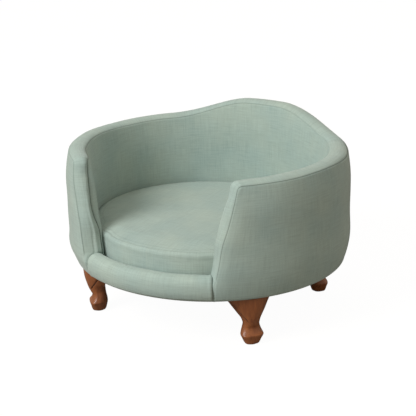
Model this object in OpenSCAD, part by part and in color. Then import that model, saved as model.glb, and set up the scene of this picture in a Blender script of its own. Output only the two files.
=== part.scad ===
// Oval sofa bed for a small dog: a padded tub on four carved legs, with a loose
// box cushion that lifts out. Millimetres, +Z up, front towards -Y, floor at z = 0.

/* [Body] */
// Width over the widest part of the padding
body_w = 680; // [620:5:760]
// Depth over the widest part of the padding
body_d = 640; // [580:5:700]
// Height of the arm tops at their seams
arm_h = 386; // [350:2:430]
// Height of the hump in the back over the arm line
hump_h = 37; // [15:1:60]
// Width of the level part of the hump
hump_flat_w = 90; // [60:2:140]
// Width over which the hump rises and falls
hump_w = 482; // [400:2:540]
// Height of the padded front rail
front_h = 178; // [170:1:190]
// Width of each arm's front at the front rail, out to the widest part
arm_low_w = 171; // [160:1:186]
// Width of each arm's front at its top
arm_top_w = 124; // [115:1:138]
// Height at which the outside is widest
bulge_h = 212; // [190:1:230]
// How far the hem is drawn in under the widest part
hem_in = 17; // [14:0.5:17.5]

/* [Wall build-up] */
// Thickness of the cover cloth
cloth_t = 1.6; // [1:0.2:2]
// Depth of the outer panel under the padding
panel_in = 20.5; // [20:0.5:24]
// Thickness of the bent hardboard panels
panel_t = 3; // [2.5:0.5:4]
// Clear width between the two panels, filled by posts and ribs
cavity_w = 16; // [14:1:20]
// Thickness of the inside padding above the cushion
inner_pad_t = 18.4; // [16:0.2:24]
// Width of the strip of cloth along the top edge
band_w = 43; // [40:1:46]
// Width of the same strip down the arm fronts
strip_w = 38.6; // [38.2:0.2:42]
// How far the outer seam sits inside the widest part, at the top
seam_in = 10; // [7:1:12]
// How far the outside rounds in at the front edges of the arms
edge_tuck = 6; // [2:1:8]
// Crown of the strip over its two seams
band_crown = 6; // [3:0.5:8]
// Padding between an arm front and its strip
end_pad = 10; // [8:0.5:12]
// Depth of the top rail's underside under the top seams
rail_drop = 14; // [12:0.5:18]
// Thickness of the top rail
rail_t = 6; // [4:0.5:8]

/* [Base] */
// Thickness of the oval base board
base_t = 15; // [12:1:18]
// Thickness of the thin pad on the base board
deck_pad_t = 12; // [10:1:16]
// Thickness of the deck cloth and of the dust cover
lining_t = 1; // [0.8:0.1:1.4]
// Padding over the wooden front rail
lip_pad_t = 14; // [10:1:16]
// Padding on the cushion's side of the front rail
lip_back_pad_t = 2.9; // [2:0.1:6]
// Height of the rounded part of the front rail
lip_roll = 20; // [16:1:24]
// Width of the cover hem that is turned under the base
hem_turn = 23; // [18:1:30]

/* [Cushion] */
// Height of the cushion at its seams
cushion_t = 69; // [60:1:76]
// Crown of the cushion over its top seam
cushion_crown = 14; // [8:1:20]
// Clearance between the cushion and the padded wall
cushion_gap = 2; // [1.5:0.1:4]
// Height of the cushion over the deck cloth
seat_gap = 0.3; // [0.3:0.1:0.5]
// How far the seams are drawn in from the middle of the cushion's side
seam_draw = 2; // [1:0.5:4]
// Depth of the channel that holds the zip
zip_recess = 6; // [5.5:0.5:7]
// Half the angle of the oval that the zip covers at the back
zip_half_angle = 38; // [30:1:42]

/* [Legs] */
// Height of a leg with its glide
leg_h = 118; // [100:1:140]
// How far the front legs' axes stand in from the widest part
leg_front_in = 57.2; // [54:0.2:70]
// How far the rear legs' axes stand in from the widest part
leg_rear_in = 68.2; // [54:0.2:78]
// Angle of the oval at which the front legs stand, from its sides towards the front
leg_front_angle = 43; // [38:0.5:47]
// Angle of the oval at which the rear legs stand, from its sides towards the back
leg_rear_angle = 40.5; // [36:0.5:45]
// Reach of the knee in front of the leg's axis
knee_reach = 33; // [30:1:42]
// Half the width over the two ears of the knee
ear_half_w = 57.5; // [48:0.5:62]
// How far the ears sweep back
ear_back = 33; // [22:1:36]
// Reach of the toe in front of the leg's axis
toe_reach = 22; // [20:1:28]
// Half the width of the pad foot
foot_half_w = 26; // [23:1:32]
// Radius of the sole
sole_r = 16; // [14:0.5:18]
// Half the width of the ankle
ankle_half_w = 18.4; // [16:0.2:22]
// Thickness of the glide under each foot
glide_t = 2; // [1.5:0.5:5]
// Radius of that glide
glide_r = 13; // [9:0.5:13.5]
// Radius of the leg bolts
bolt_r = 4; // [3:0.5:5]
// How deep a bolt goes into its leg
bolt_in_leg = 32; // [24:1:40]

/* [Hidden] */

sage = [0.64, 0.69, 0.64];
lining_black = [0.12, 0.12, 0.12];
foam_cream = [0.93, 0.89, 0.75];
birch = [0.82, 0.69, 0.50];
hardboard = [0.46, 0.32, 0.20];
walnut = [0.42, 0.25, 0.15];
steel = [0.72, 0.72, 0.74];
round_fn = 48;
overrun = 2;

half_w = body_w / 2;
half_d = body_d / 2;
opening_low_w = body_w - 2 * arm_low_w;
opening_top_w = body_w - 2 * arm_top_w;
cavity_in = panel_in + panel_t;
inner_panel_in = cavity_in + cavity_w;
inner_face_in = inner_panel_in + panel_t;
wall_in = inner_face_in + inner_pad_t + cloth_t;

hem_z = leg_h + lining_t;
base_z = hem_z + cloth_t;
deck_z = base_z + base_t;
seat_z = deck_z + deck_pad_t + lining_t;
front_frame_z = front_h - lip_pad_t;
soft_gap = 0.3;
strip_foot_z = front_h + soft_gap;
frame_insets = [panel_in, cavity_in, inner_panel_in, inner_face_in];

// Stations along the wall, counted from the right arm front round the back to the left
moving_stations = 3;
fixed_steps = 29;
last = fixed_steps + 2 * moving_stations;
arm_blend_angle = 10;
front_steps = 8;
// Rows up the wall, as shares of the height under and over the foot of the strip
low_row_share = [0.05, 0.2, 0.5, 1];
high_row_share = [0.2, 0.45, 0.72, 0.88, 0.95, 1];
lows = len(low_row_share);
rows = lows + len(high_row_share);
foot_row = lows - 1;
seat_row = lows - 2;
rail_row = rows - 2;
top_row = rows - 1;
rib_stations = [5, 11, 17, 23, 29];
roll_reach = 60;
top_roll = 90;
shoulder_share = 0.55;
strip_share = [0, 0.12, 0.35, 0.65, 0.88, 1];

function smooth(v) = let(c = min(1, max(0, v))) c * c * (3 - 2 * c);
function swell(v) = let(c = min(1, max(0, v))) 1 - (1 - c) * (1 - c);
function mix(a, b, f) = a + (b - a) * f;
function unit(v) = v / norm(v);
function arc_angle(length) = length / half_w * 180 / PI;

// A point of the oval in plan, moved inwards at a right angle to it
function rim(t, inset) =
    let(n = unit([cos(t) / half_w, sin(t) / half_d]))
    [half_w * cos(t), half_d * sin(t)] - inset * n;
function rim_point(t, inset, z) = let(p = rim(t, inset)) [p[0], p[1], z];

// Angle from the middle of the front to the edge of an arm at height z
function edge_angle(z) =
    let(f = min(1, max(0, (z - front_h) / (arm_h - front_h))))
    asin(mix(opening_low_w, opening_top_w, f) / body_w);
first_fixed = edge_angle(arm_h) + arm_blend_angle;
function side_angle(i, z, back) =
    i == 0 ? edge_angle(z) + arc_angle(back)
    : i < moving_stations ? mix(edge_angle(z), first_fixed, i / moving_stations)
    : mix(first_fixed, 360 - first_fixed, (i - moving_stations) / fixed_steps);
function wall_t(i, z, back) =
    i > last - moving_stations
    ? 270 - side_angle(last - i, z, back)
    : side_angle(i, z, back) - 90;
function wall_point(i, inset, z, back) = rim_point(wall_t(i, z, back), inset, z);

// Height of the top seams at a station
function top_z(i) =
    let(p = rim(wall_t(i, arm_h, 0), wall_in / 2))
    let(hump = smooth((hump_w / 2 - abs(p[0])) / (hump_w - hump_flat_w) * 2))
    arm_h + (p[1] > 0 ? hump_h * hump : 0);

function cover_row_z(k, i) =
    k < lows ? mix(hem_z, strip_foot_z, low_row_share[k])
    : mix(strip_foot_z, top_z(i), high_row_share[k - lows]);
function frame_row_z(k, i) =
    k < lows ? [base_z, deck_z, seat_z, strip_foot_z][k]
    : k < rail_row ? mix(strip_foot_z, top_z(i) - rail_drop, high_row_share[k - lows])
    : top_z(i) - rail_drop + (k == top_row ? rail_t : 0);

function hem_curve(z) = hem_in * pow(max(0, bulge_h - z) / (bulge_h - hem_z), 2);
function outer_inset(i, z) =
    let(top = top_z(i), shoulder = mix(bulge_h, top, shoulder_share))
    let(tuck = (i == 0 || i == last) ? edge_tuck * smooth((z - hem_z) / (front_h - hem_z)) : 0)
    hem_curve(z) + seam_in * pow(max(0, z - shoulder) / (top - shoulder), 2)
    + tuck * (1 - max(0, z - shoulder) / (top - shoulder));
function inner_inset(i, z) =
    let(side = i < last / 2 ? i : last - i)
    let(along = swell((side_angle(side, z, 0) - edge_angle(z)) / arc_angle(roll_reach)))
    let(full = mix(seam_in + band_w, wall_in, swell((top_z(i) - z) / top_roll)))
    mix(edge_tuck + strip_w, full, along);

// Corners of the cloth: depth 0 is the face, depth 1 the back of the cloth
function outer_point(i, k, depth) =
    let(z = cover_row_z(k, i), drop = k == top_row ? depth * cloth_t : 0)
    wall_point(i, outer_inset(i, z) + depth * cloth_t, z - drop, depth * cloth_t);
function inner_point(i, k, depth) =
    let(z = k == seat_row ? seat_z : cover_row_z(k, i))
    let(drop = k == top_row ? depth * cloth_t : 0)
    wall_point(i, inner_inset(i, z) - depth * cloth_t, z - drop, depth * cloth_t);
function frame_point(i, k, inset) = wall_point(i, inset, frame_row_z(k, i), end_pad);

function reversed(list) = [for (v = [len(list) - 1 : -1 : 0]) list[v]];

// Two facets for four corners in order: they split along the shorter diagonal, and a slight
// lean settles a tie, so that two solids that meet there split it the same way
lean_share = 0.02;
function lean(d) = d * d + lean_share * (d[0] * d[1] + d[1] * d[2] + d[2] * d[0]);
function facets(p, a, b, c, d) =
    lean(p[a] - p[c]) < lean(p[b] - p[d]) ? [[a, b, c], [a, c, d]] : [[a, b, d], [b, c, d]];

// A solid through loops of points
module sweep(loops, closed = false) {
    n = len(loops);
    m = len(loops[0]);
    p = [for (l = loops, q = l) q];
    sides = [for (i = [0 : n - (closed ? 1 : 2)], j = [0 : m - 1])
        let(a = i * m + j, b = i * m + (j + 1) % m)
        let(c = (i + 1) % n * m + (j + 1) % m, d = (i + 1) % n * m + j)
        each facets(p, a, d, c, b)];
    ends = closed ? [] : [for (s = [0, (n - 1) * m], j = [0 : floor((m - 1) / 2) - 1])
        let(a = s + j, b = s + j + 1, c = s + m - 2 - j, d = s + m - 1 - j)
        each s == 0
            ? (b < c ? facets(p, a, b, c, d) : [[a, b, d]])
            : (b < c ? facets(p, d, c, b, a) : [[d, b, a]])];
    polyhedron(p, concat(sides, ends));
}

// A layer of the wall's frame between two insets, from one row to another
module frame_layer(inset_a, inset_b, row_a, row_b, from = 0, to = last) {
    sweep([for (i = [from : to]) concat(
        [for (k = [row_a : row_b]) frame_point(i, k, inset_a)],
        [for (k = [row_b : -1 : row_a]) frame_point(i, k, inset_b)])]);
}

// Angles of the front, between the arms; back carries the ends under the arms
front_angles = [for (j = [0 : front_steps]) -90 + edge_angle(0) * (2 * j / front_steps - 1)];
module front_layer(profile, back = 0) {
    reach = back > 0 ? [arc_angle(back)] : [];
    angles = concat([for (a = reach) front_angles[0] - a], front_angles,
        [for (a = reach) front_angles[front_steps] + a]);
    sweep([for (t = angles) [for (corner = profile) rim_point(t, corner[0], corner[1])]]);
}

// The oval in plan, at one inset, on the frame's own stations
function oval(inset) = concat(
    [for (i = [0 : last]) rim(wall_t(i, base_z, end_pad), inset)],
    [for (t = front_angles) rim(t, inset)]);

function mirrored(p) = [-p[0], p[1]];
function leg_places() =
    let(front = rim(-leg_front_angle, leg_front_in), rear = rim(leg_rear_angle, leg_rear_in))
    [front, mirrored(front), rear, mirrored(rear)];

tee_barrel_r = bolt_r + 1;
tee_flange_r = 2.4 * bolt_r;
tee_flange_t = 1.5;
bolt_nose = 2;
module bolt_hole_row(r, z, h) {
    for (p = leg_places())
        translate([p[0], p[1], z]) cylinder(h = h, r = r, $fn = round_fn);
}

module base_board() {
    color(birch)
    difference() {
        translate([0, 0, base_z]) linear_extrude(base_t) polygon(oval(cavity_in));
        bolt_hole_row(tee_barrel_r, base_z - overrun, base_t + 2 * overrun);
    }
}

module arm_post_left() {
    color(birch) frame_layer(cavity_in, inner_panel_in, 1, rail_row, last - 1, last);
}

module arm_post_right() {
    color(birch) frame_layer(cavity_in, inner_panel_in, 1, rail_row, 0, 1);
}

module wall_ribs() {
    color(birch)
    for (i = rib_stations)
        frame_layer(cavity_in, inner_panel_in, 1, rail_row, i, i + 1);
}

module top_rail() {
    color(birch)
    sweep([for (i = [0 : last]) concat(
        [for (inset = reversed(frame_insets)) frame_point(i, rail_row, inset)],
        [for (inset = frame_insets) frame_point(i, top_row, inset)])]);
}

module outer_panel() {
    color(hardboard) frame_layer(panel_in, cavity_in, 0, rail_row);
}

module inner_panel() {
    color(hardboard) frame_layer(inner_panel_in, inner_face_in, 1, rail_row);
}

module front_panel() {
    color(hardboard)
    front_layer([[panel_in, base_z], [panel_in, front_frame_z],
        [cavity_in, front_frame_z], [cavity_in, base_z]], end_pad);
}

module front_rail() {
    color(birch)
    front_layer([[cavity_in, deck_z], [cavity_in, front_frame_z],
        [inner_face_in, front_frame_z], [inner_face_in, deck_z]], end_pad);
}

module outer_padding() {
    color(foam_cream)
    sweep([for (i = [0 : last]) concat(
        [for (k = [0 : top_row]) outer_point(i, k, 1)],
        [for (k = [top_row : -1 : 0]) frame_point(i, k, panel_in)])]);
}

module inner_padding() {
    color(foam_cream)
    sweep([for (i = [0 : last]) concat(
        [for (k = [seat_row : top_row]) frame_point(i, k, inner_face_in)],
        [for (k = [top_row : -1 : seat_row]) inner_point(i, k, 1)])]);
}

module outer_cover() {
    under = hem_in + cloth_t;
    color(sage)
    sweep([for (i = [0 : last]) concat(
        [wall_point(i, panel_in + hem_turn, hem_z, 0), wall_point(i, under, hem_z, 0)],
        [for (k = [0 : top_row]) outer_point(i, k, 0)],
        [for (k = [top_row : -1 : 0]) outer_point(i, k, 1)],
        [wall_point(i, panel_in, base_z, cloth_t),
            wall_point(i, panel_in + hem_turn, base_z, cloth_t)])]);
}

module inner_cover() {
    color(sage)
    sweep([for (i = [0 : last]) concat(
        [for (k = [seat_row : top_row]) inner_point(i, k, 1)],
        [for (k = [top_row : -1 : seat_row]) inner_point(i, k, 0)])]);
}

// The edge runs up the right arm front, along the top and down the left arm front
edge_path = concat(
    [for (k = [foot_row : rail_row]) [0, k]],
    [for (i = [0 : last]) [i, top_row]],
    [for (k = [rail_row : -1 : foot_row]) [last, k]]);
function edge_out(step) =
    let(i = step[0], at_end = i == 0 || i == last)
    let(t = wall_t(i, arm_h, 0), way = i == 0 ? 1 : -1)
    let(along = unit([half_w * sin(t), -half_d * cos(t), 0]) * way)
    at_end ? (step[1] == top_row ? unit(along + [0, 0, 1]) : along) : [0, 0, 1];
function edge_arc(step, depth) =
    let(a = outer_point(step[0], step[1], depth), b = inner_point(step[0], step[1], depth))
    [for (c = strip_share) mix(a, b, c) + edge_out(step) * band_crown * 4 * c * (1 - c)];
module edge_strip() {
    color(sage)
    sweep([for (step = edge_path) concat(edge_arc(step, 0), reversed(edge_arc(step, 1)))]);
}

module edge_padding() {
    color(foam_cream)
    sweep([for (step = edge_path) concat(edge_arc(step, 1),
        [for (inset = reversed(frame_insets)) frame_point(step[0], step[1], inset)])]);
}

// Cross-section of the front rail's cover, as [inset, height], from the hem to the seat
lip_in = inner_face_in + lip_back_pad_t + cloth_t;
function lip_profile(depth) =
    let(d = depth * cloth_t, z0 = front_h - lip_roll, lip_out = hem_curve(z0))
    let(half = (lip_in - lip_out) / 2, middle = (lip_in + lip_out) / 2)
    concat(
        [for (k = [0 : seat_row])
            let(z = cover_row_z(k, 0)) [hem_curve(z) + d, z]],
        [for (a = [0 : 22.5 : 180]) [middle - (half - d) * cos(a), z0 + (lip_roll - d) * sin(a)]],
        [[lip_in - d, seat_z]]);

module front_rail_padding() {
    face = lip_profile(1);
    frame = [[inner_face_in, seat_z], [inner_face_in, front_frame_z],
        [panel_in, front_frame_z], [panel_in, base_z]];
    color(foam_cream)
    front_layer(concat(face, frame));
}

module front_rail_cover() {
    face = concat([[panel_in + hem_turn, hem_z], [hem_in + cloth_t, hem_z]], lip_profile(0));
    back = concat([[panel_in + hem_turn, base_z], [panel_in, base_z]], lip_profile(1));
    color(sage)
    front_layer(concat(face, reversed(back)));
}

module deck_pad() {
    color(foam_cream)
    difference() {
        translate([0, 0, deck_z]) linear_extrude(deck_pad_t) polygon(oval(inner_face_in));
        bolt_hole_row(tee_flange_r + overrun, deck_z - overrun, tee_flange_t + bolt_nose + 2 * overrun);
    }
}

module deck_cloth() {
    color(lining_black)
    translate([0, 0, seat_z - lining_t]) linear_extrude(lining_t) polygon(oval(inner_face_in));
}

dust_in = panel_in + 5;
module dust_cover() {
    color(lining_black)
    difference() {
        translate([0, 0, leg_h]) linear_extrude(lining_t) polygon(oval(dust_in));
        bolt_hole_row(bolt_r, leg_h - overrun, lining_t + 2 * overrun);
    }
}

staple_count = 28;
staple_w = 10;
staple_leg = 8;
staple_wire = [1.2, 0.7];
staple_in = dust_in + 8;
staple_leg_gap = 10;
module staple() {
    translate([-staple_w / 2, -staple_wire[0] / 2, -staple_wire[1]])
        cube([staple_w, staple_wire[0], staple_wire[1]]);
    for (side = [0, 1])
        translate([-staple_w / 2 + side * (staple_w - staple_wire[1]), -staple_wire[0] / 2, -staple_wire[1]])
            cube([staple_wire[1], staple_wire[0], staple_leg]);
}
module dust_cover_staples() {
    color(steel)
    for (n = [0 : staple_count - 1]) {
        t = (n + 0.5) * 360 / staple_count;
        p = rim(t, staple_in);
        if (min([for (q = leg_places()) norm(p - q)]) > ear_half_w + staple_leg_gap)
            translate([p[0], p[1], leg_h]) rotate([0, 0, t + 90]) staple();
    }
}

// Outline of a leg: share of its height, reach in front, half width, sweep of the
// side points to the back, reach behind, half thickness of the side edge
heel_reach = 21.5;
ankle_front = 14.5;
ankle_back = 18;
pad_forward = 6;
ear_edge = 9;
side_edge = 3;
leg_levels = [
    [0, sole_r, sole_r, 0, sole_r, side_edge],
    [0.035, sole_r * 1.07, sole_r * 1.12, 0, sole_r * 1.1, side_edge],
    [0.11, toe_reach * 0.9, foot_half_w * 0.84, -pad_forward * 0.5, heel_reach * 0.94, side_edge],
    [0.185, toe_reach, foot_half_w, -pad_forward, heel_reach, side_edge],
    [0.21, toe_reach * 0.88, foot_half_w * 0.965, -pad_forward * 0.8, heel_reach, side_edge],
    [0.26, ankle_front * 1.1, ankle_half_w * 1.23, -pad_forward * 0.3, heel_reach * 0.96, side_edge],
    [0.33, ankle_front, ankle_half_w * 1.1, 0, ankle_back * 1.05, side_edge],
    [0.4, mix(ankle_front, knee_reach, 0.2), ankle_half_w, 0, ankle_back, side_edge],
    [0.5, mix(ankle_front, knee_reach, 0.47), mix(ankle_half_w, ear_half_w, 0.07),
        ear_back * 0.11, ankle_back * 0.96, side_edge],
    [0.6, mix(ankle_front, knee_reach, 0.66), mix(ankle_half_w, ear_half_w, 0.25),
        ear_back * 0.33, ankle_back * 0.96, side_edge * 1.2],
    [0.72, mix(ankle_front, knee_reach, 0.85), mix(ankle_half_w, ear_half_w, 0.48),
        ear_back * 0.56, ankle_back, side_edge * 1.5],
    [0.84, mix(ankle_front, knee_reach, 0.95), mix(ankle_half_w, ear_half_w, 0.71),
        ear_back * 0.82, ankle_back * 1.05, side_edge * 2],
    [0.93, mix(ankle_front, knee_reach, 0.99), mix(ankle_half_w, ear_half_w, 0.89),
        ear_back * 0.95, ankle_back * 1.12, ear_edge * 0.85],
    [1, knee_reach, ear_half_w, ear_back, ankle_back * 1.2, ear_edge]];
leg_arc_steps = 5;
function leg_loop(level) =
    let(z = glide_t + level[0] * (leg_h - glide_t), nose = level[1], side = level[2])
    let(sweep_back = -level[3], rear = -level[4], edge = level[5])
    let(front = [for (n = [0 : leg_arc_steps])
        let(a = 90 * n / leg_arc_steps)
        [sweep_back + edge + (nose - sweep_back - edge) * cos(a), side * sin(a), z]])
    let(behind = [for (n = [leg_arc_steps : -1 : 0])
        let(a = 90 * n / leg_arc_steps)
        [sweep_back - edge + (rear - sweep_back + edge) * cos(a), side * sin(a), z]])
    let(half = concat(front, behind))
    concat(half, [for (v = [len(half) - 2 : -1 : 1]) [half[v][0], -half[v][1], z]]);
module leg(place) {
    color(walnut)
    translate([place[0], place[1], 0])
    difference() {
        rotate([0, 0, atan2(place[1], place[0])]) leg_body();
        translate([0, 0, leg_h - bolt_in_leg]) cylinder(h = bolt_in_leg + overrun, r = bolt_r, $fn = round_fn);
    }
}
module leg_body() {
    loops = [for (level = leg_levels) leg_loop(level)];
    n = len(loops);
    m = len(loops[0]);
    polyhedron(
        [for (l = loops, p = l) p],
        concat(
            [for (i = [0 : n - 2], j = [0 : m - 1])
                let(a = i * m + j, b = i * m + (j + 1) % m)
                each [[a, b + m, b], [a, a + m, b + m]]],
            [[for (j = [0 : m - 1]) j]],
            [[for (j = [m - 1 : -1 : 0]) (n - 1) * m + j]]));
}
module leg_front_right() leg(leg_places()[0]);
module leg_front_left() leg(leg_places()[1]);
module leg_rear_right() leg(leg_places()[2]);
module leg_rear_left() leg(leg_places()[3]);

module leg_bolts() {
    color(steel)
    bolt_hole_row(bolt_r, leg_h - bolt_in_leg, bolt_in_leg + deck_z - leg_h + tee_flange_t + bolt_nose);
}

module tee_nuts() {
    color(steel)
    difference() {
        union() {
            bolt_hole_row(tee_barrel_r, base_z + overrun, base_t - overrun);
            bolt_hole_row(tee_flange_r, deck_z, tee_flange_t);
        }
        bolt_hole_row(bolt_r, base_z, base_t + tee_flange_t + overrun);
    }
}

module foot_glides() {
    color(lining_black) bolt_hole_row(glide_r, 0, glide_t);
}

// The cushion follows the wall, and comes forward to the front rail between the arms
cushion_z = seat_z + seat_gap;
cushion_front_in = lip_in + cushion_gap;
cushion_wall_in = wall_in + cushion_gap;
cushion_rim = concat(
    [for (i = [0 : last])
        [wall_t(i, seat_z, 0), i == 0 || i == last ? cushion_front_in : inner_inset(i, seat_z) + cushion_gap]],
    [for (j = [1 : front_steps - 1]) [front_angles[j], cushion_front_in]]);
cushion_steps = len(cushion_rim);
function zip_zone(t) =
    let(away = abs((t + 360) % 360 - 90))
    smooth((zip_half_angle + 14 - away) / 8);
// Side of the cushion, as [share of height, how far it is drawn in, in the zip channel]
side_share = [0, 0.22, 0.4, 0.6, 0.78, 1];
function side_in(v, t) =
    (v == 0 || v == 5 ? seam_draw : 0)
    + (v == 2 || v == 3 ? zip_recess * zip_zone(t) : 0);
function cushion_side(v, n, depth) =
    let(t = cushion_rim[n][0], inset = cushion_rim[n][1])
    let(up = depth * cloth_t * (v == 0 ? 1 : v == 5 ? -1 : 0))
    rim_point(t, inset + side_in(v, t) + depth * cloth_t, cushion_z + cushion_t * side_share[v] + up);
crown_share = [1, 0.93, 0.78, 0.52, 0.26];
function cushion_crown_point(r, n, depth) =
    let(edge = cushion_side(5, n, depth), z = edge[2])
    [edge[0] * r, edge[1] * r, z + cushion_crown * (1 - pow(r, 2.6))];
around = [0 : cushion_steps - 1];
function crown_rings(depth) = [for (r = crown_share, n = around) cushion_crown_point(r, n, depth)];
function crown_middle(depth) = [0, 0, cushion_z + cushion_t - depth * cloth_t + cushion_crown];

// Facets between rings of points, and of the tip that closes the last ring
function band_faces(p, first, rings) = [for (r = [0 : rings - 2], j = around)
    let(a = first + r * cushion_steps + j, b = first + r * cushion_steps + (j + 1) % cushion_steps)
    each facets(p, a, a + cushion_steps, b + cushion_steps, b)];
function dome_faces(p, first, rings) =
    let(edge = first + (rings - 1) * cushion_steps)
    concat(band_faces(p, first, rings),
        [for (j = around) [edge + j, edge + cushion_steps, edge + (j + 1) % cushion_steps]]);
function turned(faces) = [for (f = faces) [f[2], f[1], f[0]]];
function joined_rings(p, a, b) = [for (j = around)
    let(k = (j + 1) % cushion_steps)
    each facets(p, a + j, a + k, b + k, b + j)];

// A panel of cloth from rings of points that end in one middle point, on its face and its back
module cushion_panel(face, back, rings) {
    p = concat(face, back);
    color(sage)
    polyhedron(p, concat(dome_faces(p, 0, rings), turned(dome_faces(p, len(face), rings)),
        joined_rings(p, 0, len(face))));
}

module cushion_top() {
    cushion_panel(concat(crown_rings(0), [crown_middle(0)]), concat(crown_rings(1), [crown_middle(1)]),
        len(crown_share));
}

module cushion_border() {
    color(sage)
    sweep([for (n = around) concat(
        [for (v = [0 : 5]) cushion_side(v, n, 0)],
        [for (v = [5 : -1 : 0]) cushion_side(v, n, 1)])], closed = true);
}

function floor_ring(depth) = concat([for (n = around) cushion_side(0, n, depth)],
    [[0, 0, cushion_z + depth * cloth_t]]);
module cushion_bottom() {
    cushion_panel(floor_ring(1), floor_ring(0), 1);
}

module cushion_foam() {
    p = concat([for (v = [0 : 5], n = around) cushion_side(v, n, 1)],
        [for (r = [1 : len(crown_share) - 1], n = around) cushion_crown_point(crown_share[r], n, 1)],
        [crown_middle(1), [0, 0, cushion_z + cloth_t]]);
    color(foam_cream)
    polyhedron(p, concat(dome_faces(p, 0, 5 + len(crown_share)),
        [for (j = around) [j, (j + 1) % cushion_steps, len(p) - 1]]));
}

// The zip lies in the channel at the back. Its arc passes through the channel's floor at the
// middle of the back and at both ends of the zip.
zip_w = 24;
zip_tape_t = 0.8;
zip_teeth_w = 5;
zip_teeth_t = 1.6;
channel_in = cushion_wall_in + zip_recess;
channel_back_y = half_d - channel_in;
channel_end = rim(90 - zip_half_angle, channel_in);
zip_centre_y = (channel_back_y * channel_back_y - channel_end * channel_end)
    / (2 * (channel_back_y - channel_end[1]));
zip_r = channel_back_y - zip_centre_y + zip_tape_t;
zip_arc_angle = atan2(channel_end[0], channel_end[1] - zip_centre_y);
zip_z = cushion_z + cushion_t / 2;
module arc_bar(r, thick, wide, angle) {
    translate([0, zip_centre_y, zip_z]) rotate([0, 0, 90 - angle])
        rotate_extrude(angle = 2 * angle, $fn = 4 * round_fn)
            translate([r, -wide / 2]) square([thick, wide]);
}
zip_lift = 1.2;
module cushion_zip() {
    color(sage) arc_bar(zip_r - zip_lift + zip_tape_t, zip_tape_t, zip_w / 2, zip_arc_angle);
    color(steel) arc_bar(zip_r - zip_lift + 2 * zip_tape_t, zip_teeth_t, zip_teeth_w, zip_arc_angle);
}

slider_len = 9;
slider_w = 8;
slider_t = 1.6;
slider_gap = 0.3;
pull_len = 16;
pull_w = 4;
pull_t = 0.8;
slider_r = zip_r - zip_lift + 2 * zip_tape_t + zip_teeth_t + slider_gap;
module zip_slider() {
    color(steel)
    translate([0, zip_centre_y, zip_z]) rotate([0, 0, 90 - zip_arc_angle + arc_angle(slider_len)]) {
        translate([slider_r, -slider_len / 2, -slider_w / 2]) cube([slider_t, slider_len, slider_w]);
        translate([slider_r, slider_len / 2, -pull_w / 2]) cube([pull_t, pull_len, pull_w]);
    }
}

base_board();
arm_post_left();
arm_post_right();
wall_ribs();
top_rail();
outer_panel();
inner_panel();
front_panel();
front_rail();
outer_padding();
inner_padding();
edge_padding();
front_rail_padding();
deck_pad();
deck_cloth();
outer_cover();
inner_cover();
edge_strip();
front_rail_cover();
dust_cover();
dust_cover_staples();
leg_front_left();
leg_front_right();
leg_rear_left();
leg_rear_right();
leg_bolts();
tee_nuts();
foot_glides();
cushion_foam();
cushion_top();
cushion_border();
cushion_bottom();
cushion_zip();
zip_slider();
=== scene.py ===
# %% [markdown]
# A small dog's sofa bed: an oval padded tub on four carved walnut legs, with a loose box cushion.
# The exact parts come in as a fixed frame, so every new piece is placed by the same measures, in
# metres, and nothing has to be fitted by eye.

import math

import bmesh
import bpy
import numpy as np
from mathutils import Matrix, Vector
from mathutils.kdtree import KDTree


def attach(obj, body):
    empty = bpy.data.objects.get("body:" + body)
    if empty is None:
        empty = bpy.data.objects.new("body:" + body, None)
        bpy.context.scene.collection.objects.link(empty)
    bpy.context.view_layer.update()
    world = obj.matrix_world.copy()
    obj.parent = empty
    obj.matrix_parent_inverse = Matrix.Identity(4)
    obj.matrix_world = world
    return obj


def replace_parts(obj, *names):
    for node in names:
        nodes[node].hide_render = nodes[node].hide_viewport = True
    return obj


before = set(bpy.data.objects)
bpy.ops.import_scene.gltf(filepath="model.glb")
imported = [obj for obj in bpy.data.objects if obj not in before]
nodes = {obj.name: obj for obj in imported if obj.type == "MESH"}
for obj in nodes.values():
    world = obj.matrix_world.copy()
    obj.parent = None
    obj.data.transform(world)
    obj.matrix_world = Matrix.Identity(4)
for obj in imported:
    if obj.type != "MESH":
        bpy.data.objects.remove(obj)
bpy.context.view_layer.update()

# %% [markdown]
# The body is an oval in plan. Every layer of it is that oval moved inwards by some inset, so one
# function gives any point of the wall from an angle, an inset and a height. The two arms end at an
# opening that widens with height, and the back rises in a soft hump. Angles called phi run from
# the middle of the front, over the right arm and the back, round to the front again.

# %% The oval and its edges
HALF_W, HALF_D = 0.340, 0.320
ARM_H, FRONT_H, BULGE_H, HEM_Z, SEAT_Z = 0.386, 0.178, 0.212, 0.119, 0.1486
HUMP_H, HUMP_AT, HUMP_FLAT, HUMP_W = 0.0380, 0.0035, 0.090, 0.449
BACK_DROP, BACK_FROM, BACK_BLEND = 0.0045, -0.05, 0.14
OPENING_LOW, OPENING_TOP = 0.338, 0.432
HEM_IN, SEAM_IN, EDGE_TUCK, WALL_IN, LIP_IN = 0.017, 0.010, 0.006, 0.0625, 0.047
BAND_W, STRIP_W, CORNER_R, CLOTH_T = 0.043, 0.0386, 0.010, 0.0016


def smooth(v):
    """0 below 0 and 1 above 1, with a soft S between."""
    c = np.clip(v, 0, 1)
    return c * c * (3 - 2 * c)


def fall(v):
    """From 1 down to 0, fast at first and then slowly."""
    return (1 - np.clip(v, 0, 1)) ** 2


def ease_out(v):
    """From 0 up to 1, fast at first and then slowly."""
    return 1 - fall(v)


def mix(a, b, f):
    return a + (b - a) * f


def bell(v, at, width):
    """A soft bump that is 1 where v is at its middle."""
    return np.exp(-(((v - at) / width) ** 2))


def rim(t, inset):
    """A point of the oval moved inwards, and the outward direction there."""
    nx, ny = np.cos(t) / HALF_W, np.sin(t) / HALF_D
    size = np.hypot(nx, ny)
    nx, ny = nx / size, ny / size
    return HALF_W * np.cos(t) - inset * nx, HALF_D * np.sin(t) - inset * ny, nx, ny


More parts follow.
